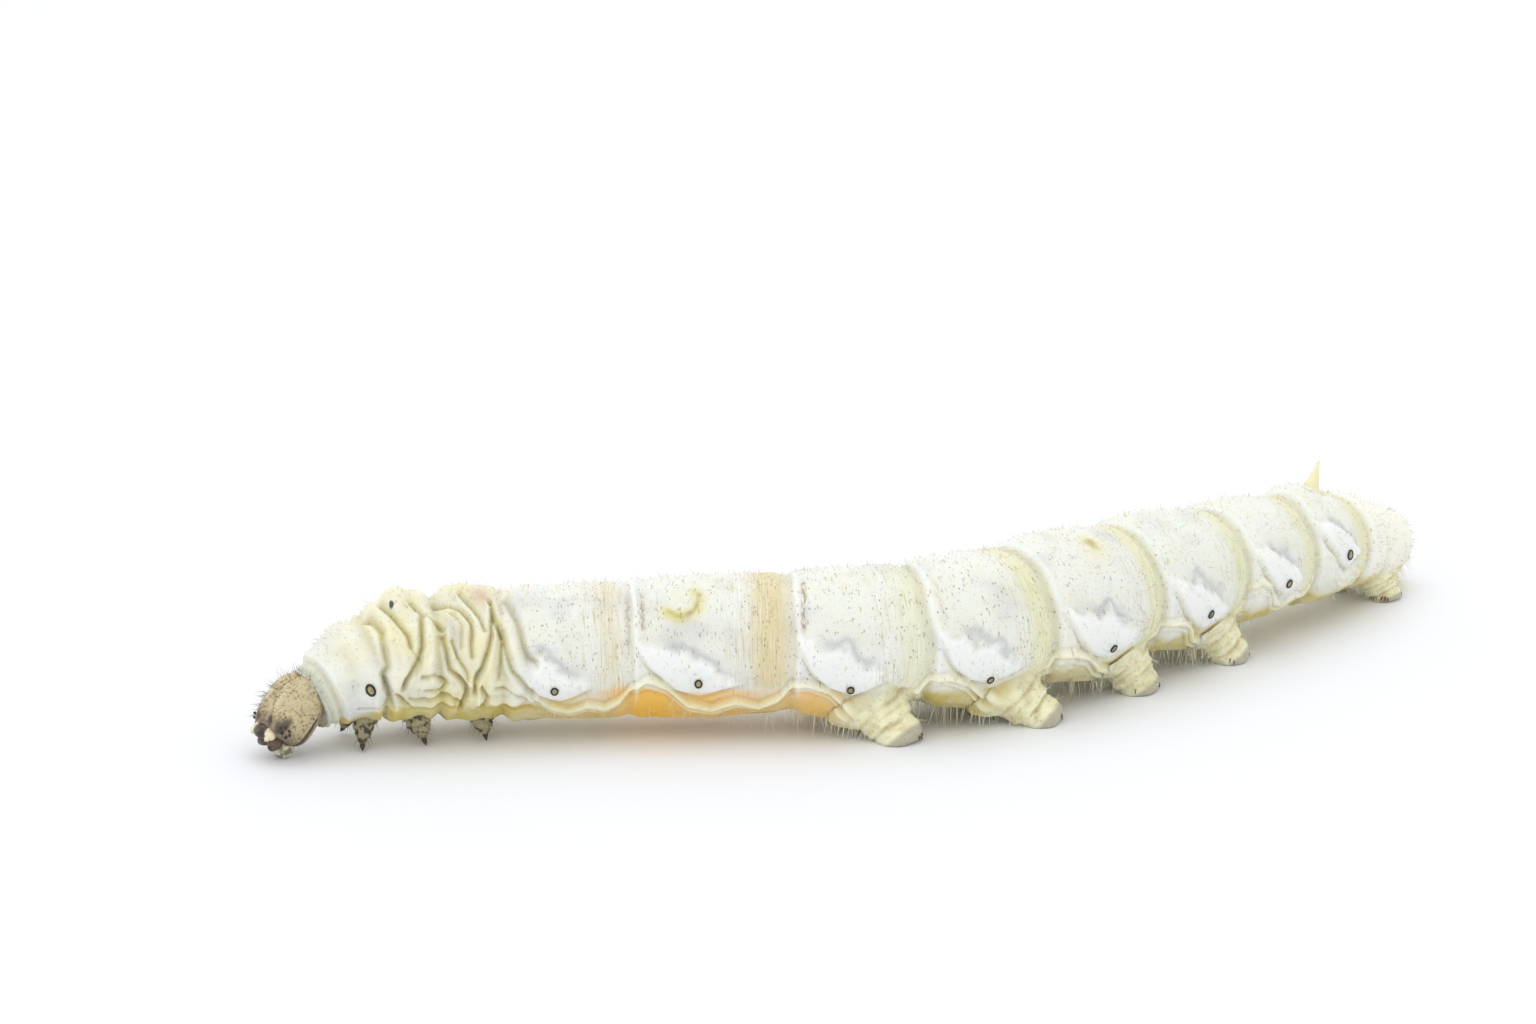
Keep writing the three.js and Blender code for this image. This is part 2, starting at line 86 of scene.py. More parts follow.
axisStep = 0.1
axisStart = -6
axisPlaces = axisStart + axisStep * np.arange(round((trunkLength + 3 - axisStart) / axisStep))
axisHeadings = np.radians(along(trunk["headings"], np.maximum(0, axisPlaces + axisStep / 2)))
axisRise = (along(trunk["heights"], axisPlaces + axisStep) - along(trunk["heights"], axisPlaces)) / axisStep
axisLevel = np.sqrt(1 - axisRise**2) * axisStep
axisX = np.concatenate([[0], np.cumsum(axisLevel * np.cos(axisHeadings))[:-1]])
axisY = np.concatenate([[0], np.cumsum(axisLevel * np.sin(axisHeadings))[:-1]])


def axisPoint(s):
    x, y = np.interp(s, axisPlaces, axisX), np.interp(s, axisPlaces, axisY)
    return np.stack([x, y, along(trunk["heights"], s)], -1)


# Where the solids' own axis lies in the shared frame, from the middle of a cut face of abdomen_5
def measureShift():
    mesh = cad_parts["abdomen_5"].data
    corners = np.empty(len(mesh.vertices) * 3)
    mesh.vertices.foreach_get("co", corners)
    corners = corners.reshape(-1, 3) / mm
    face = axisPoint(joints[7] + gap / 2)
    middle = axisPoint((joints[7] + joints[8]) / 2)
    guess = (corners.min(0) + corners.max(0)) / 2 - middle
    found = corners[np.argmin(np.linalg.norm(corners - face - guess, axis=1))]
    return found - face


shift = measureShift()
shift[2] = 0


def axisFrame(s):
    s = np.asarray(s, float)
    heading = np.radians(along(trunk["headings"], np.maximum(0, s)))
    rise = (along(trunk["heights"], s + 0.2) - along(trunk["heights"], s - 0.2)) / 0.4
    left = np.stack([np.sin(heading), -np.cos(heading), 0 * heading], -1)
    back = np.stack([np.cos(heading), np.sin(heading), rise], -1)
    back /= np.linalg.norm(back, axis=-1, keepdims=True)
    up = np.cross(back, left)
    up *= np.sign(up[..., 2:3])
    return axisPoint(s) + shift, left, back, up


def bodyRadius(s, angle):
    radius = along(trunk["radii"], np.clip(s, 0, trunkLength))
    reach = np.where(np.sin(angle) < 0, trunk["bellyShare"], 1)
    oval = radius / np.sqrt(np.cos(angle) ** 2 + (np.sin(angle) / reach) ** 2)
    dome = np.clip((s - trunkLength + trunk["tailDome"]) / trunk["tailDome"], 0, 1)
    return oval * np.sqrt(1 - 0.97 * dome**2.6)


def bodyPoint(s, angle, out=0.0):
    origin, left, back, up = axisFrame(s)
    radius = (bodyRadius(s, angle) + out)[..., None]
    return origin + radius * (np.cos(angle)[..., None] * left + np.sin(angle)[..., None] * up)


def onFlank(degrees, side):
    return np.radians(degrees if side > 0 else 180 - degrees)


# Soft noise from a seeded lattice, between -1 and 1
def lattice(points, size, seed):
    rng = np.random.default_rng(seed)
    table = rng.uniform(-1, 1, 4096)
    grid = points / size
    cell = np.floor(grid).astype(np.int64)
    part = grid - cell
    part = part * part * (3 - 2 * part)
    total = np.zeros(len(points))
    for corner in range(8):
        step = np.array([corner & 1, (corner >> 1) & 1, corner >> 2])
        at = cell + step
        key = (at[:, 0] * 73856093 ^ at[:, 1] * 19349663 ^ at[:, 2] * 83492791) & 4095
        weight = np.prod(np.where(step == 1, part, 1 - part), axis=1)
        total += weight * table[key]
    return total


# Meshes

def newObject(name, verts, faces):
    mesh = bpy.data.meshes.new(name)
    mesh.from_pydata([tuple(v) for v in np.asarray(verts)], [], [tuple(int(i) for i in f) for f in faces])
    mesh.update()
    mesh.shade_smooth()
    piece = bpy.data.objects.new(name, mesh)
    bpy.context.scene.collection.objects.link(piece)
    return piece


def getCorners(piece):
    corners = np.empty(len(piece.data.vertices) * 3)
    piece.data.vertices.foreach_get("co", corners)
    return corners.reshape(-1, 3)


def setCorners(piece, corners):
    piece.data.vertices.foreach_set("co", np.ascontiguousarray(corners, float).ravel())
    piece.data.update()


def getNormals(piece):
    normals = np.empty(len(piece.data.vertices) * 3)
    piece.data.vertices.foreach_get("normal", normals)
    return normals.reshape(-1, 3)


def setField(piece, name, values):
    field = piece.data.attributes.new(name, "FLOAT", "POINT")
    field.data.foreach_set("value", np.asarray(values, np.float32))


# A closed tube through rings of points, with a point in the middle of each end
def tube(rings):
    rings = np.asarray(rings, float)
    count, sides = rings.shape[:2]
    verts = np.concatenate([rings.reshape(-1, 3), rings[0].mean(0)[None], rings[-1].mean(0)[None]])
    faces = []
    for i in range(count - 1):
        for j in range(sides):
            n = (j + 1) % sides
            faces.append((i * sides + j, i * sides + n, (i + 1) * sides + n, (i + 1) * sides + j))
    first, last = count * sides, count * sides + 1
    for j in range(sides):
        n = (j + 1) % sides
        faces.append((n, j, first))
        faces.append(((count - 1) * sides + j, (count - 1) * sides + n, last))
    return verts, faces


# Joins several tubes into one list of points and faces
def gather(parts):
    verts, faces, start = [], [], 0
    for partVerts, partFaces in parts:
        verts.append(partVerts)
        faces += [tuple(i + start for i in face) for face in partFaces]
        start += len(partVerts)
    return np.concatenate(verts), faces


# Round sections along a line that may bow: each section is (share of the length, width, depth)
def limbRings(root, direction, across, length, sections, count=40, sides=28, bow=0.0):
    deep = np.cross(direction, across)
    deep /= np.linalg.norm(deep)
    shares = np.linspace(0, 1, count)
    table = np.array(sections, float)
    wide = np.interp(shares, table[:, 0], table[:, 1])
    thick = np.interp(shares, table[:, 0], table[:, 2])
    turn = np.linspace(0, 2 * np.pi, sides, endpoint=False)
    centres = root + np.outer(shares * length, direction) + np.outer(bow * shares**2, deep)
    return (centres[:, None] + (np.cos(turn)[None, :, None] * wide[:, None, None]) * across
            + (np.sin(turn)[None, :, None] * thick[:, None, None]) * deep)


def ballRings(centre, axes, radii, count=14, sides=22):
    polar = np.linspace(0.06, np.pi - 0.06, count)
    turn = np.linspace(0, 2 * np.pi, sides, endpoint=False)
    flat = np.sin(polar)[:, None, None]
    return (np.asarray(centre) + flat * np.cos(turn)[None, :, None] * radii[0] * np.asarray(axes[0])
            + flat * np.sin(turn)[None, :, None] * radii[1] * np.asarray(axes[1])
            + np.cos(polar)[:, None, None] * radii[2] * np.asarray(axes[2]))


# Limbs

prolegSections = [(0, 1.1, 0.85), (0.35, 1.16, 0.9), (0.5, 1.06, 0.84), (0.56, 0.92, 0.76), (0.68, 0.9, 0.76),
                  (0.74, 0.76, 0.66), (0.84, 0.82, 0.7), (0.95, 0.72, 0.64), (1, 0.5, 0.46)]
prolegs = [
    {"nodes": "proleg_3", "piece": 5, "u": 0.52, "past": -1.1, "aside": 3.5, "width": 1.5},
    {"nodes": "proleg_4", "piece": 6, "u": 0.58, "past": -0.2, "aside": 3.6, "width": 1.5},
    {"nodes": "proleg_5", "piece": 7, "u": 0.72, "past": -0.7, "aside": 2.9, "width": 1.45},
    {"nodes": "proleg_6", "piece": 8, "u": 0.72, "past": -0.4, "aside": 2.7, "width": 1.4},
    {"nodes": "clasper", "piece": 12, "u": 0.9 / 4.4, "past": 0.9, "aside": 1.9, "width": 1.2},
]
thoracicLegs = [
    {"nodes": "leg_front", "piece": 0, "u": 0.6, "past": -0.9, "aside": 1.6, "width": 0.62},
    {"nodes": "leg_middle", "piece": 1, "u": 0.62, "past": -0.7, "aside": 1.8, "width": 0.76},
    {"nodes": "leg_hind", "piece": 2, "u": 0.66, "past": -0.8, "aside": 1.5, "width": 0.72},
]


# Where a limb starts, where it points, and how long it is, down to its sole on the floor
def limbFrame(limb, side, degrees, inside, sole=-0.2):
    s = joints[limb["piece"]] + limb["u"] * lengths[limb["piece"]]
    joint = limb["piece"] + (0 if limb["nodes"] == "clasper" else 1)
    origin, left, back, up = axisFrame(joints[joint])
    level = np.array([back[0], back[1], 0])
    level /= np.linalg.norm(level)
    foot = origin + level * limb["past"] + left * side * limb["aside"]
    foot[2] = sole
    root = bodyPoint(np.array(s), np.array(onFlank(degrees, side)), np.array(-inside))
    direction = foot - root
    length = np.linalg.norm(direction)
    direction /= length
    backHere = axisFrame(s)[2]
    across = backHere - direction * (backHere @ direction)
    across /= np.linalg.norm(across)
    return root, direction, across, length


# The skin: one soft surface for the neck, the trunk, the horn and the prolegs

skin = {
    "voxel": 0.085,  # mm
    "smoothing": 14,  # rounds at the roots of the limbs
    "lobeHeight": 0.26,
    "cordHeight": 0.26,
    "annuletDepth": 0.02,
    "annuletSpacing": 0.3,
    "bellySag": 0.42,  # mm lower between the legs and the first prolegs
    "bellySagPlace": 17,  # mm along the body
    "bellySagReach": 9,
    "pouch": 0.45,  # mm, over each proleg
    "pouches": {5: 0.42, 6: 0.45, 7: 0.55, 8: 0.55},  # ring: share of its length
    "pillow": 0.26,
    "hornMound": 0.45,
    "thoraxRadius": 2.9,  # mm, for unrolling the thorax
    "jointDepth": [0.1, 0.3, 0.26, 0.2, 0.07, 0.09, 0.2, 0.26, 0.28, 0.28, 0.26, 0.22, 0.16],
    "jointWidth": [0.16, 0.3, 0.3, 0.3, 0.3, 0.4, 0.34, 0.36, 0.4, 0.4, 0.4, 0.34, 0.3],
}

# Folds of the thorax: a line of (mm along the body, degrees above the flank), then the height, with a
# minus for a crease, and the half width, both in mm
thoraxFolds = [
    ([(-0.05, 95), (0.0, 40), (0.05, 0), (0.1, -40), (0.1, -75)], -0.13, 0.12),
    ([(3.0, 80), (3.3, 52), (3.15, 32), (3.05, 18), (2.7, 9), (2.75, -2), (2.95, -12), (3.0, -30)],
     -0.34, 0.17),
    ([(3.6, 84), (3.9, 70), (4.15, 57), (4.45, 40), (4.45, 30)], -0.24, 0.13),
    ([(5.4, 60), (5.25, 44), (5.15, 30), (4.8, 17), (4.25, 7), (3.9, 0), (3.75, -8)], -0.32, 0.15),
    ([(5.0, 76), (5.35, 67), (6.0, 54), (6.3, 42)], -0.22, 0.13),
    ([(6.3, 36), (6.45, 22), (6.6, 6), (7.1, -2), (7.4, -10), (7.45, -20), (7.2, -40)], -0.36, 0.15),
    ([(6.7, 30), (7.0, 16), (7.4, 4), (7.5, -2)], -0.24, 0.12),
    ([(6.2, 76), (6.6, 68), (7.35, 62), (7.8, 50), (7.9, 36), (7.85, 16)], -0.24, 0.12),
    ([(7.5, 80), (7.9, 68), (8.3, 54), (8.6, 40)], -0.2, 0.12),
    ([(9.0, 70), (9.0, 58), (8.9, 36), (8.65, 20), (8.4, 7), (8.1, 0), (7.9, -6), (7.9, -18)], -0.34, 0.14),
    ([(9.05, 57), (9.35, 42), (9.6, 30), (9.75, 18), (10.05, 2), (10.6, -8), (11.1, -18)], -0.36, 0.15),
    ([(9.5, 26), (9.4, 10), (9.25, -4)], -0.2, 0.12),
    ([(9.9, 74), (10.4, 50), (10.65, 24), (10.8, 12), (11.15, 8)], -0.3, 0.17),
    ([(2.7, 4), (2.95, -10), (2.75, -30), (1.9, -28), (0.95, -17)], -0.2, 0.13),
    ([(3.9, 30), (4.0, 14), (3.6, 4), (3.4, -4)], 0.2, 0.32),
    ([(5.9, 52), (5.8, 34), (5.6, 20), (5.2, 6)], 0.26, 0.36),
    ([(6.45, 34), (6.8, 16), (7.3, 3), (7.6, -8)], 0.3, 0.2),
    ([(9.15, 62), (9.9, 36), (10.3, 10), (10.75, -6)], 0.42, 0.34),
    ([(8.7, 4), (8.9, -10), (9.4, -16), (10.4, -14)], 0.24, 0.4),
    ([(8.2, -24), (9.4, -32), (10.6, -25), (11.1, -22)], 0.24, 0.18),
    ([(4.3, -26), (5.4, -32), (6.6, -28)], 0.22, 0.18),
    ([(4.4, -38), (5.6, -42), (6.9, -36)], -0.2, 0.12),
    ([(8.4, -40), (9.6, -44), (10.9, -38)], -0.2, 0.12),
    ([(4.9, 1), (5.6, 3), (6.3, -7), (5.9, -17), (5.0, -12)], -0.2, 0.11),
    ([(4.2, -22), (5.2, -27), (6.4, -23), (7.2, -30)], -0.2, 0.12),
    ([(3.3, -13), (3.8, -25), (4.5, -34)], -0.24, 0.12),
    ([(8.3, -12), (8.7, -24), (8.4, -37)], -0.24, 0.12),
    ([(7.95, -8), (8.2, -22), (8.0, -34)], 0.2, 0.16),
    ([(9.1, -12), (10.0, -20), (11.0, -27)], -0.18, 0.11),
    ([(4.5, 26), (4.9, 14), (4.5, 4)], -0.12, 0.1),
    ([(6.9, 56), (7.3, 44), (7.3, 26)], -0.14, 0.12),
    ([(1.2, 60), (1.5, 40), (1.3, 20), (1.1, 5)], -0.07, 0.3),
]
# Round swellings: mm along, degrees, half width in mm, height
swellings = [
    (4.4, 91, 0.85, 0.75), (5.9, 90, 1.0, 0.22), (7.6, 86, 0.6, 0.45), (8.8, 88, 0.8, 0.2),
    (5.0, 44, 0.42, 0.16), (7.2, 42, 0.4, 0.14), (6.2, 30, 0.45, 0.14), (8.6, -12, 0.5, 0.16),
    (5.3, 10, 0.4, 0.14), (5.0, -10, 0.34, 0.24), (5.65, -2, 0.36, 0.24), (6.1, -14, 0.3, 0.2),
    (4.5, -20, 0.3, 0.16), (2.0, -4, 0.85, 0.2), (7.95, -26, 0.3, 0.18), (8.3, 22, 0.55, 0.12),
    (3.4, 40, 0.4, 0.1), (11.9, -8, 0.9, 0.26), (12.9, -13, 0.6, 0.14), (10.0, -52, 0.8, 0.12),
    (6.0, -54, 0.8, 0.14), (2.2, -52, 0.8, 0.14),
]
# The leaf-shaped white lobe over each spiracle, and the cord that waves below it: share of the ring, degrees
lobeTop = [(0.05, 24), (0.1, 18), (0.22, 14), (0.42, 9), (0.54, -3), (0.68, -12), (0.74, -15)]
lobeLow = [(0.0, 24), (0.05, 14), (0.14, -3), (0.29, -20), (0.44, -28), (0.58, -21), (0.72, -16)]
cordLine = [(0.0, -19), (0.1, -11), (0.23, -17), (0.36, -35), (0.51, -41), (0.66, -34), (0.8, -41),
            (0.92, -32), (1.0, -19)]
cordDip = [(0.0, -19), (0.12, -15), (0.27, -22), (0.4, -38), (0.56, -46), (0.7, -38), (0.82, -40),
           (0.93, -30), (1.0, -19)]
spiracleDegrees = {0: 2, 3: -13, 4: -12, 5: -20, 6: -22, 7: -17, 8: -13, 9: -6, 10: 6}


def lineDistance(x, y, points):
    best = np.full(len(x), 1e9)
    for (ax, ay), (bx, by) in zip(points, points[1:]):
        dx, dy = bx - ax, by - ay
        t = np.clip(((x - ax) * dx + (y - ay) * dy) / (dx * dx + dy * dy), 0, 1)
        best = np.minimum(best, (x - ax - t * dx) ** 2 + (y - ay - t * dy) ** 2)
    return np.sqrt(best)


def lineAt(u, line):
    table = np.array(line, float)
    return np.interp(u, table[:, 0], table[:, 1])


# How far the skin stands out from the plain oval, with the colour masks that go with the folds
def skinRelief(s, degrees, points):
    count = len(s)
    k = np.clip(np.searchsorted(joints, s, side="right") - 1, 0, len(lengths) - 1)
    u = np.clip((s - joints[k]) / lengths[k], 0, 1)
    rounded = np.sin(np.pi * np.clip(u / np.where(k > 4, 0.88, 1), 0, 1) ** 0.9) ** 0.75
    out = 1.25 * np.array(trunk["bulges"])[k] * rounded
    masks = {name: np.zeros(count) for name in ("crease", "lobe", "cord", "ring", "edge")}
    bellyFade = 1 - 0.6 * ease(-degrees, 55, 80)
    wander = lattice(points, 1.7, 3)
    out += skin["hornMound"] * bell(s - hornPlace + 0.9, 1.4) * bell(degrees - 90, 24)
    sag = bell(s - skin["bellySagPlace"], skin["bellySagReach"]) * np.clip((-degrees - 25) / 35, 0, 1)
    out += skin["bellySag"] * sag
    out -= 0.3 * ease(-s, -0.1, 0.5)  # the neck is slimmer than the first ring
    for i, (depth, width) in enumerate(zip(skin["jointDepth"], skin["jointWidth"])):
        away = s - joints[i] - 0.12 * wander
        out -= depth * bell(away, width) * (0.5 + 0.5 * bellyFade)
        out += 0.35 * depth * bell(away - 2.1 * width, width) + 0.3 * depth * bell(away + 2.1 * width, width)
        masks["crease"] += 0.5 * bell(away, width * 0.5) * min(1, depth / 0.25)
        if 3 < i < 12:
            edge = bell(away - 0.34, 0.12) * ease(degrees, -40, -20)
            out += 0.07 * edge
            masks["edge"] += edge
            masks["crease"] += 0.5 * bell(away - 0.12, 0.08) * ease(degrees, -40, -20)
    abdomen = ease(s, joints[3] + 1.0, joints[3] + 1.8) * (1 - ease(s, joints[11] - 0.2, joints[11] + 0.3))
    # Fine rings on the rear third of each ring of the abdomen
    rear = ease(u, 0.56, 0.66) * (1 - ease(u, 0.93, 1.0)) * abdomen * ease(degrees, -45, -10)
    phase = s + 0.12 * wander + 0.05 * lattice(points, 0.8, 5)
    wave = np.sin(2 * np.pi * phase / skin["annuletSpacing"] + 2.2 * lattice(points * [1, 0.3, 0.3], 0.7, 9))
    strength = 0.6 + 0.5 * lattice(points * [1, 1, 0.4], 0.9, 7)
    out += skin["annuletDepth"] * wave * strength * rear
    masks["ring"] = rear
    # Spiracle lobes and cords
    lobed = abdomen * (k >= 3) * (k <= 10)
    rise = np.where(k >= 9, 10.0, 0.0) + np.where(k == 10, 12.0, 0.0)
    d = degrees - rise + 2 * lattice(points, 1.3, 11)
    ragged = 5 * lattice(points, 0.7, 12) + 3 * lattice(points, 0.3, 14)
    top, low = lineAt(u, lobeTop), lineAt(u, lobeLow)
    lobe = ease(top - d + ragged, -5, 7) * ease(d - low, -2, 4) * ease(u, 0.02, 0.1)
    lobe = lobe * (1 - ease(u, 0.62, 0.8)) * lobed
    masks["shade"] = bell(d - top - 5 - ragged, 5) * ease(u, 0.2, 0.3) * (1 - ease(u, 0.5, 0.7)) * lobed
    out -= 0.06 * masks["shade"]
    dome = 0.6 + 0.4 * bell(d - (top + low) / 2, 12)
    out += skin["lobeHeight"] * lobe * dome
    masks["lobe"] = lobe
    underLobe = bell(d - low + 3, 2.2) * ease(u, 0.05, 0.15) * (1 - ease(u, 0.62, 0.75)) * lobed
    out -= 0.16 * underLobe
    masks["crease"] += 0.7 * underLobe
    withFeet = (k >= 5) & (k <= 8)
    middle = np.where(withFeet, lineAt(u, cordDip), lineAt(u, cordLine))
    calm = np.where(k == 10, 0.25, np.where(k == 9, 0.7, 1.0))
    cord = bell(d - middle, 3.0) * lobed * calm
    second = bell(d - middle + 7.5 + 2 * wander, 2.4) * lobed * bell(u - 0.52, 0.3)
    out += skin["cordHeight"] * cord + 0.6 * skin["cordHeight"] * second
    gully = bell(d - middle - 5, 1.6) * 0.6 + bell(d - middle + 4, 1.4) + bell(d - middle + 11, 1.8) * 0.5
    gully = gully * lobed * calm
    out -= 0.11 * gully
    masks["cord"] = np.clip(cord + 0.8 * second, 0, 1)
    masks["crease"] += 0.75 * gully
    for i, at in skin["pouches"].items():
        out += skin["pouch"] * bell(s - joints[i] - at * lengths[i], 1.7) * bell(degrees + 56, 16)
    # The belly below the cord has a few long soft pleats
    under = ease(-d, 46, 54) * lobed
    out += 0.05 * np.sin(d / 3.4 + 2 * wander) * under
    # Thorax folds, in mm on the unrolled skin, a little different on each flank
    near = (s > -1.5) & (s < joints[4] - 0.5)
    x = s[near] + 0.14 * lattice(points[near], 1.1, 13)
    radius = skin["thoraxRadius"]
    y = np.radians(degrees[near]) * radius + 0.12 * lattice(points[near], 1.3, 17)
    extra, crease = np.zeros(near.sum()), np.zeros(near.sum())
    nearest = np.full(near.sum(), 9.0)
    for line, height, width in thoraxFolds:
        away = lineDistance(x, y, [(a, math.radians(b) * radius) for a, b in line])
        if height < -0.15:
            nearest = np.minimum(nearest, away)
            width *= 0.85
        hill = bell(away, width)
        if height < 0:
            extra += height * hill - 0.3 * height * bell(away - 2.2 * width, width)
            crease = np.maximum(crease, hill * min(1, -height / 0.25))
        else:
            extra += height * hill
    for place, angle, width, height in swellings:
        extra += height * bell(np.hypot(x - place, y - math.radians(angle) * radius), width)
    # The skin puffs up between the creases
    beforeAbdomen = 1 - ease(x, 10.6, 12.0)
    crumpled = ease(x, 2.4, 3.4) * beforeAbdomen
    pillow = skin["pillow"] * (1 - bell(nearest, 0.5)) * ease(x, 2.0, 3.4) * beforeAbdomen
    pillow += 0.07 * lattice(points[near], 0.6, 21) * crumpled
    out[near] += extra + pillow - 0.1 * crumpled
    masks["crease"][near] += crease
    out += 0.035 * lattice(points, 1.0, 19) + 0.018 * lattice(points, 0.42, 23)
    masks["crease"] = np.clip(masks["crease"], 0, 1)
    out = np.where((k > 2) & (out < -0.2), -0.2 + 0.4 * (out + 0.2), out)
    return out, masks


# Moves each corner towards the middle of its neighbours
def smoothCorners(corners, edges, weight, rounds):
    count = len(corners)
    a, b = edges[:, 0], edges[:, 1]
    degree = np.bincount(a, minlength=count) + np.bincount(b, minlength=count)
    degree = np.maximum(degree, 1)
    for _ in range(rounds):
        sums = [np.bincount(a, corners[b, i], count) + np.bincount(b, corners[a, i], count) for i in range(3)]
        total = np.stack(sums, 1)
        corners = corners + weight[:, None] * (total / degree[:, None] - corners)
    return corners


def meshEdges(piece):
    edges = np.empty(len(piece.data.edges) * 2, np.int64)
    piece.data.edges.foreach_get("vertices", edges)
    return edges.reshape(-1, 2)


# The place on the axis, and the angle round it, of each point
def bodyPlace(points):
    places = np.arange(-1.5, trunkLength + 0.01, 0.5)
    centres = axisFrame(places)[0]
    s = np.empty(len(points))
    for i in range(0, len(points), 20000):
        block = points[i:i + 20000]
        s[i:i + 20000] = places[((block[:, None] - centres[None]) ** 2).sum(-1).argmin(1)]
    for _ in range(5):
        origin, left, back, up = axisFrame(s)
        s = np.clip(s + 0.8 * ((points - origin) * back).sum(-1), -1.5, trunkLength + 0.5)
    origin, left, back, up = axisFrame(s)
    away = points - origin
    x, y = (away * left).sum(-1), (away * up).sum(-1)
    turn = np.degrees(np.arctan2(y, x))
    degrees = 90 - np.abs((turn - 90 + 180) % 360 - 180)
    return s, degrees, turn, np.hypot(x, y)


horn = {
    "length": 2.9,
    "inside": 0.9,  # mm of it below the back
    "lean": 0.55,
    "bow": -0.3,
    "sections": [(0, 0.7, 0.8), (0.2, 0.85, 0.95), (0.36, 0.66, 0.76), (0.52, 0.42, 0.48),
                 (0.7, 0.28, 0.3), (0.86, 0.17, 0.18), (0.96, 0.1, 0.1), (1, 0.05, 0.05)],
}


def hornFrame():
    origin, left, back, up = axisFrame(hornPlace)
    direction = up + back * horn["lean"]
    direction /= np.linalg.norm(direction)
    root = bodyPoint(np.array(hornPlace), np.array(np.pi / 2), np.array(-horn["inside"]))
    return root, direction, left, horn["length"]


# A limb's frame as the skin takes it: deeper inside the body than the solid's root
def prolegFrame(limb, side):
    return limbFrame(limb, side, -50, 0.9 if limb["nodes"] == "clasper" else 1.3)


def buildSkin():
    parts = []
    domeStart = trunkLength - trunk["tailDome"]
    before = np.arange(-trunk["neckLength"], domeStart, 0.3)
    s = np.concatenate([before, np.linspace(domeStart, trunkLength, 18)])
    turn = np.linspace(0, 2 * np.pi, 80, endpoint=False)
    grid = np.meshgrid(s, turn, indexing="ij")
    parts.append(tube(bodyPoint(*grid)))
    limbs = []
    for limb in prolegs:
        for name, side in flankNames:
            root, direction, across, length = prolegFrame(limb, side)
            sections = [(a, w * limb["width"], t * limb["width"]) for a, w, t in prolegSections]
            parts.append(tube(limbRings(root, direction, across, length, sections)))
            limbs.append(("proleg", root, direction, length, limb["width"]))
    for limb in thoracicLegs:
        for name, side in flankNames:
            root, direction, across, length = limbFrame(limb, side, -62, 0.5)
            axes = [across, np.cross(direction, across), direction]
            parts.append(tube(ballRings(root + direction * 0.1, axes, (0.85, 0.75, 0.55))))
    root, direction, across, length = hornFrame()
    parts.append(tube(limbRings(root, direction, across, length, horn["sections"], bow=horn["bow"])))
    limbs.append(("horn", root, direction, length, 1.0))
    verts, faces = gather(parts)
    piece = newObject("skin", verts, faces)
    remesh = piece.modifiers.new("remesh", "REMESH")
    remesh.mode = "VOXEL"
    remesh.voxel_size = skin["voxel"]
    remesh.use_smooth_shade = True
    bpy.context.view_layer.update()
    shape = bpy.data.meshes.new_from_object(piece.evaluated_get(bpy.context.evaluated_depsgraph_get()))
    piece.modifiers.clear()
    piece.data = shape
    return piece, limbs


# Which points are on a proleg or the horn, and how far down the proleg they are
def limbPlaces(points, limbs):
    proleg, onHorn, share = np.zeros(len(points)), np.zeros(len(points)), np.zeros(len(points))
    for kind, root, direction, length, width in limbs:
        away = points - root
        t = away @ direction / length
        radial = np.linalg.norm(away - np.outer(away @ direction, direction), axis=1)
        if kind == "proleg":
            amount = ease(t, 0.22, 0.5) * (1 - ease(radial / width, 1.2, 1.5)) * (t < 1.2)
            share = np.where(amount > proleg, t, share)
            proleg = np.maximum(proleg, amount)
        else:
            thick = np.interp(t, [a for a, _, _ in horn["sections"]], [w for _, w, _ in horn["sections"]])
            amount = ease(t, 0.25, 0.5) * (1 - ease(radial - thick, 0.15, 0.4)) * (t < 1.3)
            onHorn = np.maximum(onHorn, amount)
    return proleg, share, onHorn


print("skin")
skinPiece, limbs = buildSkin()
corners = getCorners(skinPiece)
edges = meshEdges(skinPiece)
s, degrees, turn, radial = bodyPlace(corners)
proud = radial - bodyRadius(s, np.radians(turn))
# The roots of the limbs are smoothed most, in a zone that spreads a few cells each way
rootZone = np.clip(bell(proud - 0.05, 0.35) * ease(proud, 0.02, 0.12) * 1.2, 0, 1)
a, b = edges[:, 0], edges[:, 1]
for _ in range(6):
    one, other = np.bincount(a, rootZone[b], len(corners)), np.bincount(b, rootZone[a], len(corners))
    rootZone = np.clip(np.maximum(rootZone, 0.8 * np.maximum(one, other) / 2), 0, 1)
corners = smoothCorners(corners, edges, 0.12 + 0.5 * rootZone, skin["smoothing"])
setCorners(skinPiece, corners)
normals = getNormals(skinPiece)
proleg, share, onHorn = limbPlaces(corners, limbs)
offTrunk = np.clip(proleg + onHorn, 0, 1)
relief, masks = skinRelief(s, degrees, corners)
relief *= 1 - offTrunk
# Cross folds of the prolegs: share of the length, depth, width
prolegFolds = [(0.36, 0.05, 0.03), (0.5, 0.12, 0.028), (0.6, 0.05, 0.02), (0.72, 0.13, 0.026),
               (0.79, 0.04, 0.02)]
folds = np.zeros(len(corners))
for place, depth, width in prolegFolds:
    uneven = 0.65 + 0.6 * lattice(corners, 0.9, round(place * 100))
    folds -= depth * uneven * bell(share - place - 0.045 * lattice(corners, 1.1, 29), width)
folds += 0.06 * lattice(corners, 0.45, 31) + 0.05 * lattice(corners, 0.9, 33)
corners = corners + normals * (relief + proleg * folds)[:, None]
corners[:, 2] = np.maximum(corners[:, 2], 0.012)  # mm above the floor
setCorners(skinPiece, corners * mm)
print("skin corners", len(corners))

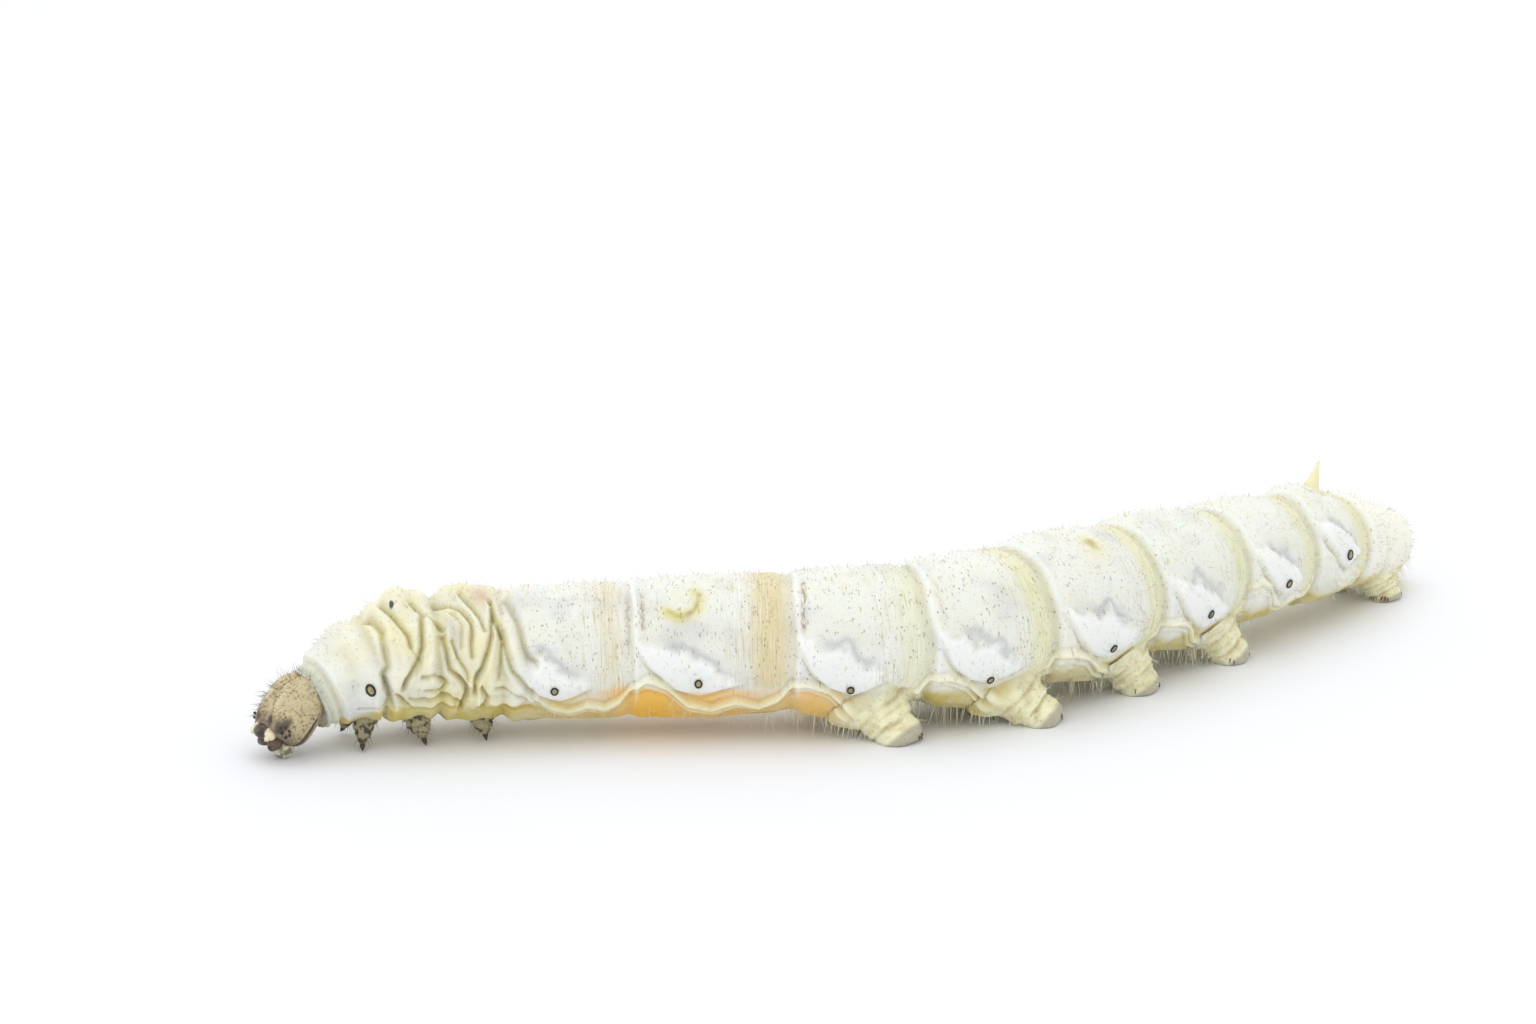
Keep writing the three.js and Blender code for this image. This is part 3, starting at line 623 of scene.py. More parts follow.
# Colour fields of the skin, nearly all from 0 to 1. Places are mm along the body, angles are degrees
# up the flank.
marks = {
    "dashes": [(16.8, 28, 66, 0.8), (24.85, 28, 74, 0.9), (16.05, 18, 64, 0.55), (31.2, 26, 60, 0.35)],
    "crescent": {"place": 18.8, "angle": 57, "radius": 0.92},
    "blotch": {"place": 40.3, "angle": 66, "radius": 0.6},
    "blackMark": {"place": 4.12, "angle": 78, "radius": 0.17},
    "pink": {"place": 8.55, "angle": 76, "radius": 0.5},
    # Two hollows of the thorax that are painted grey as shade
    "hollows": [(6.9, 40, 1.6, 0.8), (10.9, 8, 1.8, 0.6)],  # place, angle, narrowing, radius
    "abdomenRadius": 3.5,  # mm, for unrolling the rings
    "thoraxRadius": 3.0,
}


# Distance from a place on the unrolled skin, shorter along the body where narrowed
def fromSpot(place, angle, radius, narrowing=1.0):
    return np.hypot((s - place) * narrowing, np.radians(degrees - angle) * radius)


def beltFields():
    toJoint = np.min(np.abs(s[:, None] - joints[None, 4:12] + 0.75), axis=1)
    rear = ease(s, joints[5] + 3.5, joints[6] + 1)
    first, second = bell(s - joints[4] + 0.85, 0.85), bell(s - joints[5] + 1.0, 1.05)
    glow = 1.2 * bell(s - joints[4] - 1.0, 1.4) + 0.7 * bell(s - joints[4] - 4.5, 2.5)
    glow += 0.75 * bell(s - joints[5] - 1.0, 1.6) + 0.3 * bell(s - joints[3] - 3.5, 3.0)
    upper = 0.35 * bell(s - joints[4] + 0.6, 0.7) * ease(-degrees, 2, 20) * ease(degrees, -40, -20)
    return {
        "belt": np.exp(-((toJoint / 0.8) ** 4)) * rear * ease(degrees, -50, -20),
        "tanBelt": (0.5 * first + 1.05 * second) * ease(degrees, -32, -12),
        "orange": glow * ease(-degrees + 3 * fieldWander, 16, 26) * (1 - offTrunk) + upper,
    }


# A yellow arc round a lilac core on the back of the second ring, and a soft blotch on the fifth
def markFields():
    radius = marks["abdomenRadius"]
    arc = np.radians(degrees) * radius
    place, height = marks["crescent"]["place"], math.radians(marks["crescent"]["angle"]) * radius
    outside = np.hypot(s - place, arc - height) - marks["crescent"]["radius"]
    facing = np.arctan2(arc - height, s - place)
    crescent = bell(outside, 0.34) * ease(np.cos(facing + 1.0), -0.75, 0.1)
    core = 0.15 * bell(outside + marks["crescent"]["radius"], 0.8)
    lilac = bell(outside + 0.04, 0.13) * ease(np.cos(facing + 0.8), -0.5, 0.4)
    height = math.radians(marks["blotch"]["angle"]) * radius
    blotch = np.hypot(s - marks["blotch"]["place"], 0.8 * (arc - height))
    dashes = np.zeros(len(corners))
    for at, low, high, amount in marks["dashes"]:
        band = ease(degrees, low - 6, low + 4) * (1 - ease(degrees, high - 4, high + 6))
        dashes += amount * bell(s - at - 0.1 * fieldWander, 0.12) * band
    radius = marks["thoraxRadius"]
    black, pink = marks["blackMark"], marks["pink"]
    hollows = [bell(fromSpot(at, angle, radius, narrowing), reach)
               for at, angle, narrowing, reach in marks["hollows"]]
    leftHalf = (turn < 90) * (turn > -90)
    return {
        "crescent": np.clip(crescent * (0.8 + 0.5 * lattice(corners, 0.35, 61)) + core, 0, 1),
        "lilac": lilac * (0.7 + lattice(corners, 0.3, 63)),
        "blotch": bell(blotch + 0.15 * lattice(corners, 0.4, 65), marks["blotch"]["radius"]),
        "dashes": dashes,
        "mark": bell(fromSpot(black["place"], black["angle"], radius, 1.7), black["radius"]) * leftHalf,
        "pink": bell(fromSpot(pink["place"], pink["angle"], radius), pink["radius"]),
        "hollowShade": np.maximum(*hollows),
    }


fieldWander = lattice(corners, 1.6, 37)
crown = ease(degrees + 8 * fieldWander, 20, 60)
yellowed = np.maximum(0.85 * ease(s, 2.6, 3.6), 0.5 * ease(s, 0.3, 2.0) * crown)
thoraxOnly = 1 - ease(s + 0.6 * fieldWander, joints[3] - 1.0, joints[3] + 1.4)
onRings = ease(s, joints[3] + 0.6, joints[3] + 2.0) * (1 - 0.45 * ease(s, joints[7], joints[9]))
onRings = onRings * ease(degrees, -26, -12) * (1 - 0.5 * masks["lobe"])
onThorax = 0.6 * (1 - ease(s, joints[3] - 0.5, joints[3] + 1)) * ease(degrees, 10, 50)
fields = {
    "crease": masks["crease"] * (1 - offTrunk),
    "lobe": masks["lobe"] * (1 - offTrunk),
    "cord": masks["cord"] * (1 - offTrunk),
    "ring": masks["ring"] * (1 - offTrunk),
    "edge": masks["edge"],
    "shade": masks["shade"],
    "thorax": thoraxOnly * yellowed * (0.8 + 0.3 * fieldWander),
    "belly": ease(-degrees + 6 * fieldWander, 24, 40) * (1 - proleg),
    "proleg": proleg,
    "foot": proleg * ease(share, 0.83, 0.9),
    # Painted shade in the creases of the prolegs, as deep as each fold
    "fold": proleg * np.clip(-folds * 9, 0, 1),
    "horn": onHorn,
    "tail": ease(s, joints[10] + 1.5, joints[12]),
    "neck": 1 - ease(s, -0.2, 0.05),
    "specks": np.maximum(onRings, onThorax) * (1 - offTrunk),
    "along": s,
    "around": np.radians((turn + 90) % 360 - 90) * 3.3,
    **beltFields(),
    **markFields(),
}
for name, values in fields.items():
    setField(skinPiece, name, values)


# Materials

# A shader value that adds, multiplies and so on like a number
class Shade:
    def __init__(self, tree, socket=None):
        self.tree = tree
        self.socket = socket

    # Any node: its kind, its settings, then its inputs by name or number, and the output that is wanted
    def node(self, kind, settings, inputs, output=0):
        made = self.tree.nodes.new("ShaderNode" + kind)
        for name, value in settings.items():
            setattr(made, name, value)
        for name, value in inputs.items():
            if isinstance(value, Shade):
                self.tree.links.new(value.socket, made.inputs[name])
            else:
                made.inputs[name].default_value = value
        return Shade(self.tree, made.outputs[output])

    def math(self, operation, first, second):
        return self.node("Math", {"operation": operation}, {0: first, 1: second})

    def __add__(self, other):
        return self.math("ADD", self, other)

    def __radd__(self, other):
        return self.math("ADD", other, self)

    def __sub__(self, other):
        return self.math("SUBTRACT", self, other)

    def __rsub__(self, other):
        return self.math("SUBTRACT", other, self)

    def __mul__(self, other):
        return self.math("MULTIPLY", self, other)

    def __rmul__(self, other):
        return self.math("MULTIPLY", other, self)

    # From 0 at low to 1 at high, smoothly
    def between(self, low, high):
        inputs = {0: self, 1: low, 2: high, 3: 0.0, 4: 1.0}
        return self.node("MapRange", {"interpolation_type": "SMOOTHSTEP"}, inputs)

    def field(self, name):
        return self.node("Attribute", {"attribute_name": name}, {}, "Fac")

    # Sizes are in mm, on the object's own metres or on a place that is given in mm
    def pattern(self, size, place):
        if place is None:
            return {"Vector": self.node("TexCoord", {}, {}, "Object"), "Scale": 1 / (size * mm)}
        return {"Vector": place, "Scale": 1 / size}

    def noise(self, size, place=None, detail=2.0):
        return self.node("TexNoise", {}, {"Detail": detail, **self.pattern(size, place)}, "Fac")

    def cells(self, size, place=None, feature="F1"):
        return self.node("TexVoronoi", {"feature": feature}, self.pattern(size, place), "Distance")

    # A colour mixed with another by an amount
    def blend(self, amount, other):
        return self.node("Mix", {"data_type": "RGBA"}, {0: amount, 6: self, 7: other}, 2)

    def stretched(self, factors):
        return self.node("VectorMath", {"operation": "MULTIPLY"}, {0: self, 1: factors})

    def colour(self, value):
        made = self.node("RGB", {}, {})
        made.socket.default_value = value
        return made

    def pair(self, first, second):
        return self.node("CombineXYZ", {}, {0: first, 1: second})

    def bump(self, height, strength, distance, below=None):
        inputs = {"Height": height, "Strength": strength, "Distance": distance * mm}
        if below is not None:
            inputs["Normal"] = below
        return self.node("Bump", {}, inputs)


# A colour from its screen values, 0 to 255
def tint(*values):
    shares = [value / 255 for value in values]
    return (*[c / 12.92 if c <= 0.04045 else ((c + 0.055) / 1.055) ** 2.4 for c in shares], 1.0)


def newMaterial(name):
    material = bpy.data.materials.new(name)
    material.use_nodes = True
    material.node_tree.nodes.clear()
    return material, Shade(material.node_tree)


def surface(material, shade, colour, roughness, **more):
    inputs = {"Base Color": colour, "Roughness": roughness}
    inputs.update({key.replace("_", " "): value for key, value in more.items()})
    shader = shade.node("BsdfPrincipled", {"subsurface_method": "RANDOM_WALK"}, inputs)
    end = shade.tree.nodes.new("ShaderNodeOutputMaterial")
    shade.tree.links.new(shader.socket, end.inputs["Surface"])
    return material


skinLook = {
    "white": tint(231, 233, 226),
    "cream": tint(229, 227, 208),
    "thoraxYellow": tint(228, 220, 170),
    # The creases' own yellow, made darker as painted shade in the folds
    "creaseYellowShade": tint(194, 180, 90),
    "creaseTan": tint(190, 178, 128),
    "lobe": tint(238, 240, 239),
    "grey": tint(188, 190, 194),
    "cord": tint(242, 239, 208),
    "belt": tint(224, 224, 184),
    "tanBelt": tint(218, 198, 138),
    "orange": tint(240, 186, 52),
    "peach": tint(236, 194, 122),
    "neck": tint(202, 203, 182),
    "belly": tint(204, 186, 100),
    "proleg": tint(238, 235, 196),
    "ochre": tint(170, 142, 66),
    # The soles' dark grey: painted shade where the feet stand under the body
    "foot": tint(152, 146, 138),
    "horn": tint(232, 224, 180),
    "tail": tint(244, 243, 228),
    "speck": tint(112, 98, 58),
    "brown": tint(150, 122, 70),
    "pink": tint(206, 172, 150),
    "black": tint(40, 36, 32),
    "crescent": tint(220, 208, 104),
    "lilac": tint(164, 154, 136),
    "roughness": 0.46,
}


def skinMaterial():
    material, shade = newMaterial("skin")
    look = skinLook
    field = shade.field
    unrolled = shade.pair(field("along"), field("around"))
    broad = shade.noise(1.6).between(0.35, 0.7)
    fine = shade.noise(0.3, detail=4.0)
    # Hair-fine lines across the rings, some white and some tan
    lines = shade.noise(0.42, unrolled.stretched((7.5, 0.25, 1)), detail=3.0)
    onRear = field("ring")
    colour = shade.colour(look["white"]).blend(broad * 0.45, look["cream"])
    colour = colour.blend(shade.noise(2.6).between(0.5, 0.75) * 0.35, look["grey"])
    colour = colour.blend(field("thorax") * (0.6 + broad * 0.4), look["thoraxYellow"])
    # Grey painted shade in two hollows of the thorax
    colour = colour.blend(field("hollowShade") * 0.5, look["grey"])
    colour = colour.blend(field("pink") * 0.6, look["pink"])
    colour = colour.blend(field("tail") * 0.8, look["tail"])
    colour = colour.blend(field("belt") * 0.8, look["belt"])
    colour = colour.blend(field("tanBelt").between(0.05, 1.0) * (0.5 + lines * 0.35), look["tanBelt"])
    colour = colour.blend(field("belly") * (0.6 + broad * 0.35), look["belly"])
    colour = colour.blend(field("lobe") * 0.8, look["lobe"])
    colour = colour.blend(field("shade") * 0.55, look["grey"])
    glow = field("orange")
    colour = colour.blend(glow.between(0.05, 0.6) * 0.7, look["peach"])
    colour = colour.blend(glow.between(0.4, 1.3) * (0.3 + lines * 0.8), look["orange"])
    colour = colour.blend(field("neck") * 0.75, look["neck"])
    colour = colour.blend(field("edge") * 0.6, look["lobe"])
    colour = colour.blend(field("cord") * 0.85, look["cord"])
    # Creases take their own yellow, darkened further as painted shade in the folds
    deep = field("crease") * (0.7 + 0.6 * fine)
    colour = colour.blend(deep * (0.35 + 0.65 * field("thorax")) * 0.8, look["creaseYellowShade"])
    colour = colour.blend(onRear * lines.between(0.52, 0.7) * 0.55, look["creaseTan"])
    colour = colour.blend(onRear * (1 - lines.between(0.32, 0.46)) * 0.5, look["lobe"])
    colour = colour.blend(field("crescent") * 0.75, look["crescent"])
    colour = colour.blend(field("blotch") * 0.6, look["crescent"])
    colour = colour.blend(field("blotch").between(0.5, 1.0) * fine * 0.7, look["brown"])
    colour = colour.blend(field("lilac") * 0.6, look["lilac"])
    # Fine dark specks in loose rows across the rings, and a few short dashes
    rows = unrolled.stretched((1.7, 1.0, 1))
    patchy = shade.noise(0.8, unrolled).between(0.36, 0.62)
    dots = 1 - shade.cells(0.3, rows).between(0.13, 0.26)
    small = 1 - shade.cells(0.17, unrolled).between(0.1, 0.24)
    strokes = 1 - shade.cells(0.55, unrolled.stretched((2.6, 0.7, 1))).between(0.1, 0.2)
    colour = colour.blend((dots * patchy * 0.6 + small * 0.22) * field("specks"), look["speck"])
    colour = colour.blend(strokes * field("specks") * 0.5, look["brown"])
    marks = 1 - shade.noise(0.3, unrolled.stretched((3.0, 0.8, 1)), detail=3.0).between(0.42, 0.58)
    colour = colour.blend(field("dashes") * (0.15 + marks * 0.75), look["brown"])
    colour = colour.blend(field("mark").between(0.25, 0.55) * 0.9, look["black"])
    # Prolegs and horn
    spots = 1 - shade.cells(0.3).between(0.12, 0.26)
    blotches = shade.noise(0.7, detail=3.0).between(0.52, 0.66)
    limbColour = shade.colour(look["proleg"]).blend(blotches * 0.3, look["ochre"])
    limbColour = limbColour.blend(spots * 0.5, look["ochre"])
    colour = colour.blend(field("proleg") * 0.85, limbColour)
    # Darker ochre in the creases of the prolegs: painted shade, in the legs' own ochre
    colour = colour.blend(field("fold") * 0.45, look["ochre"])
    # The soles painted dark grey: painted shade where the feet stand under the body
    colour = colour.blend(field("foot") * 0.7, look["foot"])
    colour = colour.blend(field("horn") * 0.8, look["horn"])
    grain = shade.cells(0.13, feature="SMOOTH_F1")
    pleats = shade.noise(0.5, unrolled.stretched((3.2, 0.5, 1)), detail=4.0)
    first = shade.bump(pleats, 0.3, 0.1)
    second = shade.bump(lines, 0.3 * onRear, 0.05, first)
    normal = shade.bump(grain + fine * 0.9, 0.35, 0.05, second)
    roughness = look["roughness"] + fine * 0.16 - field("crease") * 0.06
    return surface(material, shade, colour, roughness, Normal=normal, IOR=1.42, Specular_IOR_Level=0.3,
                   Subsurface_Weight=0.6, Subsurface_Radius=(0.0009, 0.0007, 0.00045), Subsurface_Scale=1.0)


skinPiece.data.materials.clear()
skinPiece.data.materials.append(skinMaterial())


# A simple finish: one colour, with soft spots, a fine grain and some depth where they are wanted
def paint(name, base, roughness=0.4, spots=None, spotSize=0.3, spotAmount=0.5, grain=0.3, depth=0.0, **more):
    material, shade = newMaterial(name)
    colour = base
    if spots:
        amount = shade.noise(spotSize, detail=3.0).between(0.46, 0.6) * spotAmount
        colour = shade.colour(base).blend(amount, spots)
    if grain:
        more["Normal"] = shade.bump(shade.noise(0.12, detail=3.0), grain, 0.03)
    if depth:
        more["Subsurface_Weight"] = depth
        more["Subsurface_Radius"] = (0.0006, 0.0004, 0.00025)
        more["Subsurface_Scale"] = 1.0
    return surface(material, shade, colour, roughness, **more)


# The head

head = {
    "halfWidth": 1.7,
    "halfHeight": 1.85,
    "halfDepth": 1.36,
    "tilt": 38,  # degrees that the crown leans back
    "ahead": 1.68,  # mm in front of the neck
    "height": 2.45,
    "antenna": (42, -62),  # degrees aside and up, from straight ahead
    "eyes": (68, -42),
    "mandible": (75, -76),
    "labrum": (0, -66),
    "lip": (180, -72),
    "antennaLength": 0.62,
    "palpLength": 0.46,
    "spinneretLength": 0.3,
}
neckOrigin, neckLeft, neckBack, neckUp = axisFrame(0.0)
faceWay = -neckBack
faceWay[2] = 0
faceWay /= np.linalg.norm(faceWay)
headCentre = neckOrigin + faceWay * head["ahead"]
headCentre[2] = head["height"]
sideWay = neckLeft
tilt = math.radians(head["tilt"])
crownWay = np.array([0, 0, math.cos(tilt)]) - faceWay * math.sin(tilt)
frontWay = np.cross(sideWay, crownWay)
frontWay /= np.linalg.norm(frontWay)
frontWay *= np.sign(frontWay @ faceWay)
headAxes = np.stack([sideWay, crownWay, frontWay])


def headDirection(sideways, upwards):
    a, b = math.radians(sideways), math.radians(upwards)
    return np.array([math.sin(a) * math.cos(b), math.sin(b), math.cos(a) * math.cos(b)])


def headPoint(direction, out=0.0):
    x, y, z = direction[..., 0], direction[..., 1], direction[..., 2]
    power = np.where(y < 0, 2 + 0.9 * np.minimum(1, -1.5 * y), 2)
    r = (np.abs(x / head["halfWidth"]) ** power + np.abs(y / head["halfHeight"]) ** power
         + np.abs(z / head["halfDepth"]) ** power) ** (-1 / power)
    r = r * (1 + 0.05 * bell(np.abs(x) - 0.55, 0.35) * np.clip(y + 0.4, 0, 1))
    r = r - 0.16 * bell(x, 0.1) * np.clip(y * 1.6, 0, 1)
    r = r - 0.1 * bell(x, 0.3) * np.clip(-y * 1.5, 0, 1) * np.clip(z, 0, 1)
    return headCentre + ((r + out)[..., None] * direction) @ headAxes


def faceAxes(direction):
    out = headPoint(direction, np.array(1.0)) - headPoint(direction, np.array(0.0))
    out /= np.linalg.norm(out)
    wide = sideWay - out * (sideWay @ out)
    wide /= np.linalg.norm(wide)
    return wide, np.cross(out, wide), out


def buildHead():
    polar = np.linspace(0.015, np.pi - 0.015, 190)
    around = np.linspace(0, 2 * np.pi, 240, endpoint=False)
    p, a = np.meshgrid(polar, around, indexing="ij")
    way = np.stack([np.sin(p) * np.sin(a), np.cos(p), np.sin(p) * np.cos(a)], -1)
    x, y, z = way[..., 0], way[..., 1], way[..., 2]
    sideways = np.degrees(np.arctan2(np.abs(x), z))
    upwards = np.degrees(np.arcsin(np.clip(y, -1, 1)))
    # Seams: down the crown, then parting round the front plate
    apart = np.clip((8 - upwards) / 55, 0, 1) ** 0.8 * 32
    seam = bell(sideways - apart, 2.6) * (z > -0.2) * ease(-upwards, -60, 0) * (upwards > -50)
    plate = bell(upwards + 50, 3.0) * (sideways < 34) * (z > 0)
    fromAntenna = np.hypot((sideways - head["antenna"][0]) * 0.62, upwards - head["antenna"][1])
    socket = bell(fromAntenna - 15, 3.2) * (z > 0)
    out = -0.035 * seam - 0.04 * plate + 0.03 * socket
    flat = (way @ headAxes).reshape(-1, 3) * 1.6
    pits = lattice(flat, 0.26, 41).reshape(x.shape)
    out = out + 0.012 * pits + 0.02 * lattice(flat, 0.8, 43).reshape(x.shape)
    verts, faces = tube(headPoint(way, out))
    piece = newObject("head_shell", verts, faces)
    # Dark patches round the eyes and the mouth, a dark rear edge and two pale streaks on the front
    rear = bell(z + 0.36 + 0.06 * np.clip(upwards / 60, -1, 1), 0.05) * ease(-upwards, -20, 25)
    wobble = lattice(flat, 0.5, 47).reshape(x.shape)
    dark = bell(sideways - 58 + 9 * wobble, 11) * bell(upwards + 38 + 8 * wobble, 15) * (z > -0.3)
    dark += 0.8 * bell(sideways - 26 + 8 * wobble, 12) * bell(upwards + 44 + 9 * wobble, 12) * (z > 0)
    dark += 0.85 * ease(-upwards + 8 * wobble, 52, 62) * (z > -0.2) * (1 - bell(fromAntenna, 9))
    headFields = {
        "seam": np.clip(seam + plate, 0, 1),
        "rear": rear + 0.25 * ease(-z, 0.2, 0.5),
        "dark": np.clip(dark, 0, 1),
        "pale": bell(sideways - 24, 9) * bell(upwards - 2, 20) * (z > 0),
        "low": ease(-upwards, 20, 60),
    }
    for name, values in headFields.items():
        setField(piece, name, np.append(values.ravel(), [values[0].mean(), values[-1].mean()]))
    return piece


headLook = {
    "tan": tint(200, 186, 146),
    "pale": tint(216, 208, 176),
    "brown": tint(124, 98, 58),
    "dark": tint(58, 46, 40),
    "mauve": tint(108, 92, 80),
    "mottleSize": 0.2,
}


def headMaterial():
    material, shade = newMaterial("head_shell")
    look = headLook
    blots = 1 - shade.cells(look["mottleSize"]).between(0.18, 0.5)
    cloud = shade.noise(0.55, detail=4.0).between(0.38, 0.62)
    fine = shade.noise(0.16, detail=3.0).between(0.45, 0.6)
    colour = shade.colour(look["tan"]).blend(shade.field("pale") * 0.75, look["pale"])
    colour = colour.blend(shade.field("low") * 0.85, look["mauve"])
    colour = colour.blend(blots * (0.25 + cloud * 0.55), look["brown"])
    colour = colour.blend(fine * 0.3 * cloud, look["dark"])
    colour = colour.blend(shade.field("seam") * 0.45, look["brown"])
    colour = colour.blend(shade.field("rear").between(0.1, 0.5) * 0.9, look["dark"])
    colour = colour.blend(shade.field("dark").between(0.15, 0.75) * (0.75 + cloud * 0.2), look["dark"])
    normal = shade.bump(shade.cells(0.14), 0.3, 0.02)
    return surface(material, shade, colour, 0.32 + cloud * 0.12, Normal=normal, Specular_IOR_Level=0.45,
                   Subsurface_Weight=0.15, Subsurface_Radius=(0.0005, 0.0003, 0.0002), Subsurface_Scale=1.0)


pieces = []


def keep(piece, slot, nodes, material=None):
    if material is not None:
        piece.data.materials.clear()
        piece.data.materials.append(material)
    pieces.append((piece, slot, nodes))
    return piece


# Kept just clear of the floor, then turned into metres
def millimetres(piece):
    corners = getCorners(piece)
    corners[:, 2] = np.maximum(corners[:, 2], 0.01)
    setCorners(piece, corners * mm)
    return piece


print("head")
keep(millimetres(buildHead()), "head_shell", ["head_shell"], headMaterial())


# An oval knob on the head, standing out from it by a height
def knob(direction, height, radii, count, sides):
    return tube(ballRings(headPoint(direction, np.array(height)), faceAxes(direction), radii, count, sides))


def peg(root, out, across, length, sections, count=30, sides=18, bow=0.0):
    return tube(limbRings(root, out, across, length, sections, count, sides, bow))


mouthDark = paint("mouth_dark", tint(96, 76, 62), 0.34, tint(36, 30, 28), 0.35, 0.85)
mouthPale = paint("mouth_pale", tint(208, 204, 170), 0.38, tint(52, 50, 44), 0.45, 0.75, depth=0.15)
spinnerPaint = paint("spinneret", tint(176, 130, 76), 0.3, tint(104, 66, 40), 0.2, 0.5)
feelerPaint = paint("antenna", tint(232, 222, 190), 0.35, tint(170, 140, 96), 0.35, 0.3, depth=0.3)
eyePaint = paint("eye", tint(26, 20, 18), 0.12, grain=0.0, Coat_Weight=0.5)
clawPaint = paint("claw", tint(58, 38, 26), 0.25, grain=0.1)
antennaSections = [(0, 0.32, 0.32), (0.4, 0.3, 0.3), (0.55, 0.24, 0.24), (0.62, 0.15, 0.15),
                   (0.66, 0.15, 0.15), (0.84, 0.13, 0.13), (0.87, 0.07, 0.07), (0.97, 0.06, 0.06),
                   (1, 0.02, 0.02)]
palpSections = [(0, 0.28, 0.28), (0.4, 0.25, 0.25), (0.45, 0.19, 0.19), (0.7, 0.18, 0.18), (0.74, 0.1, 0.1),
                (0.95, 0.08, 0.08), (1, 0.03, 0.03)]

for name, sign in flankNames:
    aside, height = head["antenna"]
    place = headDirection(sign * aside, height)
    wide, high, out = faceAxes(place)
    verts, faces = peg(headPoint(place, np.array(-0.08)), out, wide, head["antennaLength"], antennaSections)
    keep(millimetres(newObject("antenna_" + name, verts, faces)), "antenna", ["antenna_" + name], feelerPaint)
    # Six stemmata: five in an arc and one inside it
    aside, height = head["eyes"]
    place = headDirection(sign * aside, height)
    wide, high, out = faceAxes(place)
    lenses = []
    for i in range(6):
        a, reach = (math.radians(-100 + i * 50), 0.32) if i < 5 else (math.pi, 0.12)
        at = headPoint(place, np.array(0.04)) + wide * reach * math.cos(a) + high * reach * math.sin(a)
        lenses.append(tube(ballRings(at, (wide, high, out), (0.085, 0.085, 0.08), 12, 16)))
    keep(millimetres(newObject("eyes_" + name, *gather(lenses))), "eye", ["eyes_" + name], eyePaint)
    aside, height = head["mandible"]
    place = headDirection(sign * aside, height)
    wide, high, out = faceAxes(place)
    verts, faces = knob(place, 0.1, (0.38, 0.38, 0.52), 22, 30)
    bite = np.maximum(0, (verts - headPoint(place, np.array(0.1))) @ out)
    teeth = np.sin((verts - verts.mean(0)) @ wide * 14)
    verts = verts - np.outer(0.06 * teeth * bite, out)
    piece = millimetres(newObject("mandible_" + name, verts, faces))
    keep(piece, "mouth_shell", ["mandible_" + name], mouthDark)

# The upper lip, with a notch in its lower edge
place = headDirection(*head["labrum"])
verts, faces = knob(place, 0.1, (0.64, 0.34, 0.44), 26, 40)
notch = headPoint(headDirection(0, -76), np.array(0.5))
inNotch = bell(np.linalg.norm(verts - notch, axis=1), 0.2)
verts = verts + faceAxes(place)[1] * (0.22 * inNotch)[:, None]
keep(millimetres(newObject("labrum", verts, faces)), "mouth_shell", ["labrum"], mouthDark)

# The lower lip, with two jointed palps and the spinneret between them
place = headDirection(*head["lip"])
wide, high, out = faceAxes(place)
lip = [knob(place, 0.1, (0.92, 0.56, 0.6), 20, 34)]
for aside in (-0.5, 0, 0.5):
    root = headPoint(place, np.array(0.2)) + wide * aside
    if aside:
        lip.append(peg(root, out, wide, head["palpLength"], palpSections))
    else:
        lip.append(peg(root, out, wide, 0.32, [(0, 0.28, 0.26), (0.6, 0.22, 0.2), (1, 0.12, 0.1)]))
keep(millimetres(newObject("lower_lip", *gather(lip))), "mouth_shell", ["lower_lip"], mouthPale)
spinneretSections = [(0, 0.17, 0.16), (0.3, 0.14, 0.13), (0.5, 0.1, 0.1), (1, 0.05, 0.05)]
root = headPoint(place, np.array(0.4))
verts, faces = peg(root, out, wide, head["spinneretLength"], spinneretSections)
keep(millimetres(newObject("spinneret", verts, faces)), "mouth_shell", [], spinnerPaint)

# Thoracic legs: five tapering rings, then a hooked claw

legLook = {
    "shell": 0.9,  # share of the length that the rings take
    "hairs": 46,
    "hairLength": (0.3, 0.6),
    "hairWidth": 0.011,
    "clawBow": 0.14,
}
legPaint = paint("leg_shell", tint(158, 149, 114), 0.4, tint(46, 42, 34), 0.3, 0.92, depth=0.1)
legSections = [(0, 1.0, 0.9), (0.3, 1.06, 0.95), (0.4, 1.02, 0.92), (0.44, 0.84, 0.76), (0.5, 0.88, 0.8),
               (0.6, 0.82, 0.74), (0.63, 0.66, 0.6), (0.68, 0.68, 0.62), (0.78, 0.58, 0.54),
               (0.81, 0.42, 0.4), (0.86, 0.42, 0.4), (0.92, 0.3, 0.28), (0.95, 0.2, 0.18), (1.0, 0.12, 0.1)]
clawSections = [(0, 0.15, 0.13), (0.4, 0.12, 0.1), (0.8, 0.05, 0.05), (1, 0.012, 0.012)]
hairRoots = []  # root point, way it points, length, width, bend, which set
